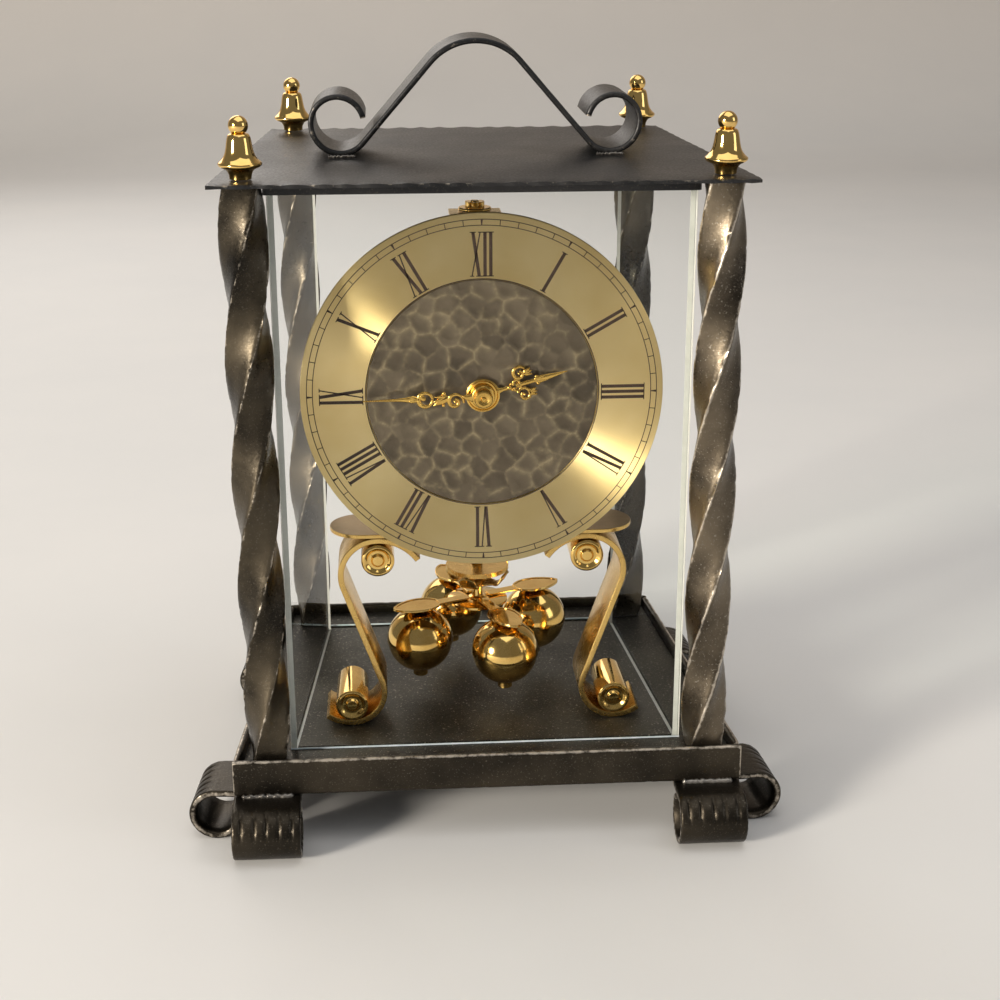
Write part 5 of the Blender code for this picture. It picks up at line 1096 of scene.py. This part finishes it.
def make_dial(brass, pewter, ink, movement):
    """Spun brass ring with its printed numerals and minute track, round a hammered centre."""
    ring, disc = extent("dial_plate"), extent("dial_centre")
    front, radius = ring.low.y, ring.half.x
    floor, back = disc.high.y + DIAL_RECESS_GAP, front + DIAL_THICKNESS
    rim = disc.half.x + DIAL_RECESS_GAP
    edge = radius - DIAL_RIM_ROUNDING
    profile = [(DIAL_BORE, floor), (rim, floor), (rim, front + DIAL_LIP), (rim + DIAL_LIP, front)]
    profile += [(rim + (edge - rim) * i / 6, front) for i in range(1, 7)]
    profile += [polar((edge, front + DIAL_RIM_ROUNDING), DIAL_RIM_ROUNDING, angle)
                for angle in range(-75, 1, 15)]
    profile += [(radius, back), (DIAL_BORE, back)]
    make_piece("dial_ring", lathe(profile, DIAL_SIDES, along="Y", ring=True), brass, "satin_brass",
               "dial_plate", place=on_dial(), smooth_deg=30)
    make_hammered_disc(pewter, disc.low.y, disc.high.y, disc.half.x)
    make_track(ink, radius, front, disc.half.x)
    make_numerals(ink, radius, front)
    feet = bmesh.new()
    foot_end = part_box("movement_front_plate")[0].y - SEAT_GAP
    foot = [(0.0, back), (DIAL_FOOT_RADIUS, back), (DIAL_FOOT_RADIUS, foot_end), (0.0, foot_end)]
    for x in (-DIAL_FOOT_REACH, DIAL_FOOT_REACH):
        for z in (-DIAL_FOOT_REACH, DIAL_FOOT_REACH):
            lathe(foot, 24, (dial_middle.x + x, 0, dial_middle.z + z), "Y", bm=feet)
    make_piece("dial_feet", feet, movement, "movement_brass")


def hammer_strikes(radius):
    """Where the hammer fell: an uneven, close-packed scatter over the disc."""
    rng = random.Random(HAMMER_SEED)
    strikes = []
    row_pitch, scatter = HAMMER_PITCH * HAMMER_ROW_SHARE, HAMMER_PITCH * HAMMER_SCATTER_SHARE
    rows = int(radius / row_pitch) + 2
    for row in range(-rows, rows + 1):
        for column in range(-rows, rows + 1):
            x = (column + 0.5 * (row % 2)) * HAMMER_PITCH + rng.gauss(0, scatter)
            z = row * row_pitch + rng.gauss(0, scatter)
            if math.hypot(x, z) < radius + HAMMER_PITCH:
                strikes.append((x, z, rng.uniform(0, HAMMER_FORCE), rng.random()))
    return np.array(strikes)


def make_hammered_disc(pewter, front, back, radius, steps=104, sides=360):
    """The disc in the dial's recess, struck all over with a ball-faced hammer."""
    strikes = hammer_strikes(radius)
    radii = (DIAL_BORE + (radius - DIAL_BORE) * np.linspace(0, 1, steps + 1))[:, None]
    angles = np.linspace(0, 2 * np.pi, sides, endpoint=False)
    u, v = radii * np.cos(angles), radii * np.sin(angles)
    bent_u = u + HAMMER_WOBBLE * np.sin(v * HAMMER_WOBBLE_RATES[0] + 1.3)
    bent_v = v + HAMMER_WOBBLE * np.sin(u * HAMMER_WOBBLE_RATES[1] + 0.4)
    distance = np.hypot(bent_u[..., None] - strikes[:, 0], bent_v[..., None] - strikes[:, 1])
    bowls = distance ** 2 / (2 * HAMMER_RADIUS) - strikes[:, 2]
    lowest = bowls.min(axis=2)
    above = bowls - lowest[..., None]
    height = lowest - HAMMER_SOFTNESS * np.log(np.exp(-above / HAMMER_SOFTNESS).sum(axis=2))
    nearest = np.partition(bowls, 1, axis=2)[:, :, :2]
    ridge = np.exp(-((nearest[..., 1] - nearest[..., 0]) / HAMMER_RIDGE))
    # A random tone for each strike, blended at the cell edges: painted sheen that each facet would
    # catch.
    shares = np.exp(-above / HAMMER_BLEND)
    struck = (shares * strikes[:, 3]).sum(axis=2) / shares.sum(axis=2)
    level = back - HAMMER_ROOM - np.minimum(height - height.min(), back - front - HAMMER_ROOM)
    level += np.clip((radii - (radius - HAMMER_RIM)) / HAMMER_RIM, 0, 1) ** 2 * HAMMER_RIM_RISE

    def row(i, levels):
        return [(dial_middle.x + u[i, j], levels[j], dial_middle.z + v[i, j]) for j in range(sides)]

    bm = bmesh.new()
    rows = [row(i, level[i]) for i in range(steps + 1)] + [row(i, [back] * sides) for i in (-1, 0)]
    skin(bm, rows, ring=True)
    piece = make_piece("hammered_disc", bm, pewter, "hammered_pewter", "dial_centre", smooth_deg=60)
    for name, values in (("ridge", ridge), ("struck", struck)):
        values = np.concatenate([values.reshape(-1), np.zeros(2 * sides)]).astype(np.float32)
        piece.data.attributes.new(name, "FLOAT", "POINT").data.foreach_set("value", values)


def make_track(ink, radius, front, disc_radius):
    """Minute track: two fine circles, a tick each minute and a wedge each fifth."""
    outer, inner = radius * TRACK_OUTER_SHARE, radius * TRACK_INNER_SHARE
    half, raised_ink = TRACK_LINE / 2, front - INK_HEIGHT
    bm = bmesh.new()
    for ring in (outer, inner, disc_radius + TRACK_DISC_GAP):
        profile = [(ring - half, front), (ring - half, raised_ink), (ring + half, raised_ink),
                   (ring + half, front)]
        lathe(profile, DIAL_SIDES, along="Y", ring=True, bm=bm)
    for minute in range(60):
        narrow, wide = (half, half) if minute % 5 else TRACK_WEDGE
        stroke = [(-narrow, inner), (narrow, inner), (wide, outer), (-wide, outer)]
        add_stroke(bm, stroke, minute * 6, front)
    make_piece("minute_track", bm, ink, "satin_brass", place=on_dial(), smooth_deg=30)


def add_stroke(bm, corners, clock_deg, front):
    """A printed stroke, drawn upright at XII and turned clockwise round the dial."""
    angle = math.radians(clock_deg)
    cos, sin = math.cos(angle), math.sin(angle)
    points = [(u * cos + v * sin, v * cos - u * sin) for u, v in corners]
    low, high = ([bm.verts.new((x, level, z)) for x, z in points]
                 for level in (front, front - INK_HEIGHT))
    bm.faces.new(high)
    for i in range(len(corners)):
        following = (i + 1) % len(corners)
        bm.faces.new((low[i], low[following], high[following], high[i]))


def numeral_strokes(text, bottom, top):
    """The strokes of a Roman numeral standing on the inner circle, as outlines (across, out)."""
    widths = {"I": NUMERAL_STROKE, "V": LETTER_WIDTH, "X": LETTER_WIDTH}
    x = -(sum(widths[letter] for letter in text) + NUMERAL_GAP * (len(text) - 1)) / 2
    thick, thin = NUMERAL_STROKE, NUMERAL_HAIRLINE
    strokes = []

    def leaning(foot, head, width):
        strokes.append([(foot - width / 2, bottom), (foot + width / 2, bottom),
                        (head + width / 2, top), (head - width / 2, top)])

    def serif_at(middle, width, level):
        low = level if level == bottom else level - NUMERAL_SERIF
        left, right = middle - width / 2 - NUMERAL_LIP, middle + width / 2 + NUMERAL_LIP
        strokes.append([(left, low), (right, low), (right, low + NUMERAL_SERIF),
                        (left, low + NUMERAL_SERIF)])

    for letter in text:
        width = widths[letter]
        left, right, middle = x + thick / 2, x + width - thin / 2, x + width / 2
        if letter == "I":
            leaning(middle, middle, thick)
            serif_at(middle, thick, top)
            serif_at(middle, thick, bottom)
        else:
            feet = {"V": (middle, middle + thick * 0.25), "X": (x + width - thick / 2, x + thin / 2)}
            leaning(feet[letter][0], left, thick)
            leaning(feet[letter][1], right, thin)
            serif_at(left, thick, top)
            serif_at(right, thin, top)
            if letter == "X":
                serif_at(feet["X"][0], thick, bottom)
                serif_at(feet["X"][1], thin, bottom)
        x += width + NUMERAL_GAP
    return strokes


def make_numerals(ink, radius, front):
    """Roman hours, upright along their own radius with their feet towards the centre."""
    bottom, top = radius * NUMERAL_INNER_SHARE, radius * NUMERAL_OUTER_SHARE
    bm = bmesh.new()
    hours = ("XII", "I", "II", "III", "IV", "V", "VI", "VII", "VIII", "IX", "X", "XI")
    for hour, text in enumerate(hours):
        for stroke in numeral_strokes(text, bottom, top):
            add_stroke(bm, stroke, hour * 30, front)
    make_piece("hour_numerals", bm, ink, "satin_brass", place=on_dial(), smooth_deg=30)


# ---------------------------------------------------------------- the hands

def wire(bm, points, widths, sides=10):
    """A rounded wire along points (across, along the hand), with a half width at each share."""
    rows = []
    for i, point in enumerate(points):
        normal = across_path(points, i)
        share = i / (len(points) - 1) * (len(widths) - 1)
        index = min(int(share), len(widths) - 2)
        half = HAND_WEIGHT * (widths[index] + (widths[index + 1] - widths[index]) * (share - index))
        row = []
        for k in range(sides):
            across, deep = polar((0.0, 0.0), 1.0, 360 * k / sides)
            place = Vector(point) + normal * half * across
            row.append((place.x, HAND_HALF_DEPTH * min(1, half / HAND_FULL_WIDTH) * deep, place.y))
        rows.append(row)
    skin(bm, rows)


def bead(bm, across, along, radius):
    """A small round knob on a hand, a little flattened."""
    made = bmesh.ops.create_uvsphere(bm, u_segments=14, v_segments=8, radius=radius)
    bmesh.ops.scale(bm, verts=made["verts"], vec=(1.0, 0.8, 1.0))
    bmesh.ops.translate(bm, verts=made["verts"], vec=(across, 0.0, along))


def leaf(bm, start, end, width, steps=10):
    """A leaf from one point to another, widest before its middle."""
    points = [tuple(Vector(start).lerp(Vector(end), i / steps)) for i in range(steps + 1)]
    widths = [width * math.sin(math.pi * min(1.0, (i / steps) ** 0.7)) + LEAF_EDGE
              for i in range(steps + 1)]
    wire(bm, points, widths)


def make_hour_hand(gold):
    """Hour hand: knot, two fanned scrolls with loops between, and a feathered tip."""
    y = middle_of("hour_hand").y
    bm = bmesh.new()
    wire(bm, *HOUR_STEM)
    for knob in HOUR_KNOT:
        bead(bm, *knob)
    for side in (-1, 1):
        loop, scroll, fan_root, feather_root, feather_tip = (
            (side * across, along) for across, along in
            (HOUR_LOOP, HOUR_SCROLL, HOUR_FAN_ROOT, HOUR_FEATHER[0], HOUR_FEATHER[1]))
        wire(bm, spiral(loop, 90 - side * 200, 90 + side * 110, HOUR_LOOP_RADIUS, HOUR_LOOP_RADIUS),
             HOUR_LOOP_WIDTHS)
        wire(bm, spiral(scroll, side * 240, -side * 160, *HOUR_SCROLL_RADII), HOUR_SCROLL_WIDTHS)
        bead(bm, *scroll, HOUR_SCROLL_EYE)
        for spread in HOUR_FAN_DEGS:
            leaf(bm, fan_root, polar(fan_root, HOUR_FAN_LENGTH, 90 - side * spread), HOUR_FAN_WIDTH)
        bead(bm, side * HOUR_BUD[0], *HOUR_BUD[1:])
        leaf(bm, feather_root, feather_tip, HOUR_FEATHER[2])
    wire(bm, *HOUR_TIP)
    make_piece("hour_hand_scrollwork", bm, gold, "gilt", "hour_hand", body="hour_pipe",
               place=on_dial(y), turn=(0, math.radians(HOUR_HAND_DEG), 0), smooth_deg=60)
    make_piece("hour_hand_cup", lathe(raised(HOUR_CUP, y), 72, along="Y", ring=True), gold, "gilt",
               body="hour_pipe", place=on_dial(), smooth_deg=35)


def make_minute_hand(gold):
    """Minute hand: a rolled scroll, a ring loop, and a long feathered needle."""
    y = middle_of("minute_hand").y
    bm = bmesh.new()
    wire(bm, *MINUTE_STEM)
    wire(bm, spiral(MINUTE_SCROLL, -100, 370, *MINUTE_SCROLL_RADII), MINUTE_SCROLL_WIDTHS)
    wire(bm, spiral(MINUTE_LOOP, -90, 275, MINUTE_LOOP_RADIUS, MINUTE_LOOP_RADIUS),
         MINUTE_LOOP_WIDTHS)
    wire(bm, *MINUTE_NEEDLE)
    for knob in MINUTE_BEADS:
        bead(bm, *knob)
    for blade in MINUTE_FAN + MINUTE_FEATHERS:
        leaf(bm, *blade)
    make_piece("minute_hand_scrollwork", bm, gold, "gilt", "minute_hand", body="minute_arbor",
               place=on_dial(y), turn=(0, math.radians(MINUTE_HAND_DEG), 0), smooth_deg=60)
    boss = lathe(rounded_profile(raised(MINUTE_BOSS, y), FINE_EDGE), 72, along="Y", ring=True)
    make_piece("minute_hand_boss", boss, gold, "gilt", body="minute_arbor", place=on_dial(),
               smooth_deg=35)
    make_piece("hand_nut", lathe(raised(HAND_NUT, y), 64, along="Y"), gold, "gilt",
               body="minute_arbor", place=on_dial())


# ---------------------------------------------------------------- the pendulum

def make_balls(brass):
    """Four polished balls in two halves, each hung from a leaf-shaped arm."""
    for name in ("right", "rear", "left", "front"):
        node = "pendulum_ball_" + name
        low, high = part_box(node)
        places = np.array([vert.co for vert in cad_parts[node].data.vertices])
        arm_low = high.z - ARM_THICKNESS
        ball_z = low.z + BALL_FOOT_DROP + BALL_RADIUS
        in_ball = np.abs(places[:, 2] - ball_z) < BALL_RADIUS * 0.5
        x, y = places[in_ball].mean(axis=0)[:2]
        profile = raised(BALL_FOOT, -BALL_RADIUS)
        profile += [polar((0, 0), BALL_RADIUS - BALL_SEAM, a) for a in range(-76, -4, 4)]
        profile += BALL_WAIST
        profile += [polar((0, 0), BALL_RADIUS, a) for a in range(4, 85, 4)]
        profile += [(BALL_NECK_RADIUS, BALL_RADIUS), (BALL_NECK_RADIUS, arm_low - ball_z)]
        make_piece("polished_ball_" + name, lathe(profile, 72), brass, "polished_brass", node,
                   body="ball_" + name, place=(x, y, ball_z), smooth_deg=30)
        make_arm(name, arm_low, high.z, math.atan2(y, x), brass)


def make_arm(name, low, high, angle, brass, steps=22):
    """A leaf-shaped arm with a raised rim, over its ball."""
    waist, reach = ARM_WAIST_WIDTH / 2, ARM_OUTER_RADIUS - ARM_INNER_RADIUS
    side = [(ARM_INNER_RADIUS, waist), (ARM_INNER_RADIUS + reach * 0.30, waist)]
    for i in range(1, steps + 1):
        share = i / steps
        swell = math.sin(math.pi * share ** 0.85) ** 0.62
        side.append((ARM_INNER_RADIUS + reach * (0.36 + 0.64 * share),
                     max(waist * (1 - share) ** 2, ARM_LEAF_WIDTH / 2 * swell)))
    outline = [(x, -y) for x, y in side] + list(reversed(side[:-1]))
    make_piece("leaf_arm_" + name, flat_solid([outline], low, high - ARM_RIM_RISE), brass,
               "polished_brass", body="ball_" + name, bevel=ARM_BLADE_BEVEL, turn=(0, 0, angle))
    outer = outline[2:-2]
    middle = ARM_INNER_RADIUS + reach * 0.64
    inner = [(middle + (x - middle) * 0.90, y * 0.86) for x, y in outer]
    make_piece("leaf_rim_" + name, flat_solid([outer, inner], high - ARM_RIM_HEIGHT, high), brass,
               "polished_brass", body="ball_" + name, bevel=ARM_RIM_BEVEL, turn=(0, 0, angle))


def make_pendulum_frame(polished, satin):
    """Hub, spider and the crown with its four turned-up petals."""
    spider_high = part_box("pendulum_ball_front")[1].z - ARM_THICKNESS - SEAT_GAP
    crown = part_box("base_plate")[1].z + CROWN_RISE
    hub = (raised(HUB_FOOT, spider_high - SPIDER_THICKNESS) + raised(HUB_SPIDER, spider_high)
           + raised(HUB_COLLAR, crown) + raised(HUB_HEAD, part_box("pendulum_frame")[1].z))
    make_piece("pendulum_hub", lathe(hub, 64), polished, "polished_brass", "pendulum_frame",
               body="pendulum", smooth_deg=35)
    outline = [polar((0, 0), CROWN_RADIUS + CROWN_WAVE * math.cos(math.radians(CROWN_LOBES * angle)),
                     angle) for angle in range(0, 360, 2)]
    make_piece("crown_plate", flat_solid([outline], crown, crown + CROWN_THICKNESS), satin,
               "polished_brass", body="pendulum", bevel=FINE_EDGE,
               turn=(0, 0, math.radians(CROWN_TURN_DEG)))
    path = trace((PETAL_ROOT, crown + CROWN_THICKNESS / 2), 0, ("run", PETAL_FLAT, 1),
                 ("arc", PETAL_BEND_RADIUS, PETAL_BEND_DEG), ("run", PETAL_RISE, 2),
                 ("arc", PETAL_TIP_RADIUS, -PETAL_TIP_DEG))

    def petal(share, across, width):
        wide = 0.55 + 0.45 * math.sin(math.pi * min(1.0, share * 1.1) ** 1.2)
        if share > 0.8:
            wide *= math.sqrt(max(0.0, 1 - ((share - 0.8) / 0.205) ** 2))
        return across, width * max(wide, 0.05)

    section = rounded_section(PETAL_HALF_THICKNESS, PETAL_HALF_WIDTH, SOFT_EDGE)
    for i in range(CROWN_LOBES):
        bm = bmesh.new()
        swept(bm, path, section, petal)
        make_piece(f"crown_petal_{i + 1}", bm, satin, "polished_brass", body="pendulum",
                   turn=(0, 0, math.radians(CROWN_TURN_DEG + 90 * i)), smooth_deg=50)


def make_regulator(satin):
    """The knurled disc that moves the balls in and out."""
    disc = extent("regulating_disc")
    outline = [polar((0, 0), disc.half.x - KNURL_DEPTH * depth, 360 * (i + share) / KNURLS)
               for i in range(KNURLS) for share, depth in KNURL_SHARES]
    bm = flat_solid([outline, circle(DISC_BORE, 48)], disc.low.z, disc.high.z)
    make_piece("knurled_disc", bm, satin, "satin_brass", "regulating_disc", body="regulator",
               smooth_deg=25)


def make_beat_nut(polished):
    """Washer and notched nut that set the beat, on the bracket's table."""
    nut = extent("beat_setting_nut")
    low, high, radius = nut.low.z, nut.high.z, nut.half.x
    nut_low = high - BEAT_NUT_HEIGHT
    washer_low = nut_low - BEAT_WASHER_HEIGHT
    bm = lathe([(0.0, low), (BEAT_STEM_RADIUS - FINE_EDGE, low),
                (BEAT_STEM_RADIUS, low + FINE_EDGE), (BEAT_STEM_RADIUS, washer_low),
                (radius - FINE_EDGE, washer_low), (radius, washer_low + FINE_EDGE),
                (radius, nut_low - SOFT_EDGE), (radius - SOFT_EDGE, nut_low), (0.0, nut_low)], 72)
    sides, outline = BEAT_NOTCHES * 12, []
    for i in range(sides):
        angle = 360 * i / sides
        near = abs((angle + 30) % 60 - 30)
        notch = BEAT_NOTCH_DEPTH * math.exp(-(near / 6.5) ** 2)
        outline.append(polar((0, 0), BEAT_NUT_RADIUS - notch, angle))
    flat_solid([outline], nut_low - BEAT_NUT_OVERLAP, high - SOFT_EDGE, bm)
    lathe(raised(BEAT_STEM_TIP, high), 32, bm=bm)
    make_piece("beat_nut", bm, polished, "polished_brass", "beat_setting_nut", body="beat_nut",
               bevel=BEAT_BEVEL, place=(nut.middle.x, nut.middle.y, 0.0))


# ---------------------------------------------------------------- small fasteners

def screw(bm, centre, radius, height, facing, slot_deg, sides=36):
    """A cheese-head screw with a slot, its head standing out along facing."""
    earlier = len(bm.verts)
    lathe([(0.0, 0.0), (radius, 0.0), (radius, height * 0.75), (radius * 0.9, height),
           (0.0, height)], sides, bm=bm)
    bm.verts.ensure_lookup_table()
    angle = math.radians(slot_deg)
    turn = Vector((0, 0, 1)).rotation_difference(Vector(facing))
    for vert in bm.verts[earlier:]:
        across = vert.co.x * math.sin(angle) - vert.co.y * math.cos(angle)
        if vert.co.z > height * 0.9 and abs(across) < radius * 0.16:
            vert.co.z = height * 0.55
        vert.co = Vector(centre) + turn @ vert.co


def make_fasteners(steel, brass):
    """Screws of the movement plates and the platform."""
    low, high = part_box("movement_back_plate")
    front_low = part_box("movement_front_plate")[0].y
    bm = bmesh.new()
    for x in (low.x + PLATE_SCREW_INSET, high.x - PLATE_SCREW_INSET):
        for z in (low.z + PLATE_SCREW_INSET, high.z - PLATE_SCREW_INSET):
            screw(bm, (x, front_low, z), *PLATE_SCREW, (0, -1, 0), 35)
            screw(bm, (x, high.y, z), *PLATE_SCREW, (0, 1, 0), 70)
    make_piece("plate_screws", bm, steel, "steel", smooth_deg=35)
    platform, reach = extent("platform"), abs(middle_of("leg_nut_upper_left").x)
    bm = bmesh.new()
    for x in (-reach, reach):
        screw(bm, (x, platform.middle.y, platform.high.z), *PLATFORM_SCREW, (0, 0, 1), 50)
    make_piece("platform_screws", bm, brass, "polished_brass", smooth_deg=35)


# ---------------------------------------------------------------- light, floor and camera

def make_camera():
    """The camera that took the photograph, as fitted to the case's corners."""
    camera = add_object("camera", bpy.data.cameras.new("camera"))
    camera.data.sensor_width = SENSOR_WIDTH_MM
    camera.data.lens = CAMERA_LENS_MM
    camera.data.clip_start, camera.data.clip_end = CAMERA_CLIP
    camera.location = CAMERA_PLACE
    aim = (Matrix.Rotation(math.radians(-CAMERA_YAW_DEG), 4, "Z")
           @ Matrix.Rotation(math.radians(90 + CAMERA_PITCH_DEG), 4, "X")
           @ Matrix.Rotation(math.radians(-CAMERA_ROLL_DEG), 4, "Z"))
    camera.rotation_euler = aim.to_euler()
    bpy.context.scene.camera = camera


def make_lamp(name, place, size, power, colour):
    """A soft rectangular lamp that faces the clock."""
    lamp = add_object(name, bpy.data.lights.new(name, "AREA"))
    lamp.data.shape = "RECTANGLE"
    lamp.data.size, lamp.data.size_y = size
    lamp.data.energy = power
    lamp.data.color = colour
    lamp.location = place
    lamp.rotation_euler = (Vector(LAMP_TARGET) - Vector(place)).to_track_quat("-Z", "Y").to_euler()


def make_studio():
    """A pale floor that curves up behind, soft lamps and a pale surround."""
    far = FLOOR_DEPTHS[-1]
    path = [(y, 0.0) for y in FLOOR_DEPTHS]
    path += [polar((far, FLOOR_BEND), FLOOR_BEND, angle) for angle in range(-84, 1, 6)]
    path.append((far + FLOOR_BEND, BACKDROP_TOP))
    bm = bmesh.new()
    skin(bm, [[(x, y, z) for y, z in path] for x in (-FLOOR_HALF_WIDTH, FLOOR_HALF_WIDTH)],
         closed_rows=False, caps=False)
    floor = add_object("floor", mesh_of("floor", bm, make_floor()))
    floor.data.shade_smooth()
    for lamp in LAMPS:
        make_lamp(*lamp)
    world = bpy.data.worlds.new("studio")
    world.use_nodes = True
    background = world.node_tree.nodes["Background"]
    background.inputs["Color"].default_value = SURROUND_COLOUR
    background.inputs["Strength"].default_value = SURROUND_STRENGTH
    bpy.context.scene.world = world
    bpy.context.scene.view_settings.view_transform = "Standard"


def dress_clock():
    """Every visible piece in its finished material."""
    iron = make_iron("blackened_iron", (0.020, 0.017, 0.013), (0.062, 0.051, 0.037), rough=0.36)
    sheened = make_iron("sheened_iron", (0.020, 0.017, 0.013), (0.120, 0.098, 0.067), 0.3, 0.31)
    # A lighter copy of the iron for the front-right column only: painted sheen where that column
    # catches the light.
    painted_sheen_iron = make_iron("painted_sheen_column_iron", (0.048, 0.039, 0.029), (0.24, 0.195, 0.138), 0.9, 0.32)
    slate = make_iron("slate_iron", (0.030, 0.031, 0.033), (0.058, 0.057, 0.058), 0.3, 0.42)
    dusty = make_iron("dusty_iron", (0.024, 0.022, 0.019), (0.080, 0.074, 0.061), 0.9, 0.46)
    weld_iron = make_iron("weld_metal", (0.12, 0.11, 0.10), (0.40, 0.38, 0.35), 0.8, 0.34)
    polished = make_brass("polished_brass", (0.90, 0.62, 0.22), (0.74, 0.46, 0.13), 0.08)
    satin = make_brass("satin_brass", (0.74, 0.50, 0.17), (0.58, 0.36, 0.11), 0.24, (1.0, 14.0, 1.0))
    gold = make_brass("gilt", (0.76, 0.49, 0.13), (0.52, 0.30, 0.07), 0.20)
    toned = make_brass("toned_brass", (0.30, 0.21, 0.11), (0.20, 0.14, 0.07), 0.30, (6.0, 1.0, 1.0))
    movement = make_brass("movement_brass", (0.80, 0.60, 0.27), (0.66, 0.46, 0.18), 0.24,
                          (1.0, 1.0, 9.0))
    steel = make_steel()
    make_feet(iron, weld_iron)
    make_strips(iron)
    paint("base_plate", dusty)
    make_columns(sheened, painted_sheen_iron)
    make_top(slate)
    make_handle(slate, weld_iron)
    make_finials(polished)
    make_panes(make_glass(),
               make_glass_edge("ground_glass_edge", (0.66, 0.66, 0.63), (0.60, 0.60, 0.57)),
               make_glass_edge("glass_foot_line", (0.76, 0.84, 0.90), (0.50, 0.59, 0.65)))
    make_support(satin, polished, toned)
    make_dial(make_dial_brass(), make_pewter(), make_ink(), movement)
    make_hour_hand(gold)
    make_minute_hand(gold)
    make_balls(polished)
    make_pendulum_frame(polished, satin)
    make_regulator(satin)
    make_beat_nut(polished)
    make_fasteners(steel, polished)
    for node in ("movement_front_plate", "movement_back_plate", "second_wheel", "third_wheel",
                 "fourth_wheel", "centre_wheel", "mainspring_barrel", "minute_wheel", "hour_wheel",
                 "suspension_fork", "suspension_bracket"):
        paint(node, movement)
    for node in ("escape_wheel", "anchor", "winding_arbor", "suspension_spring"):
        paint(node, steel)


dress_clock()
make_camera()
make_studio()
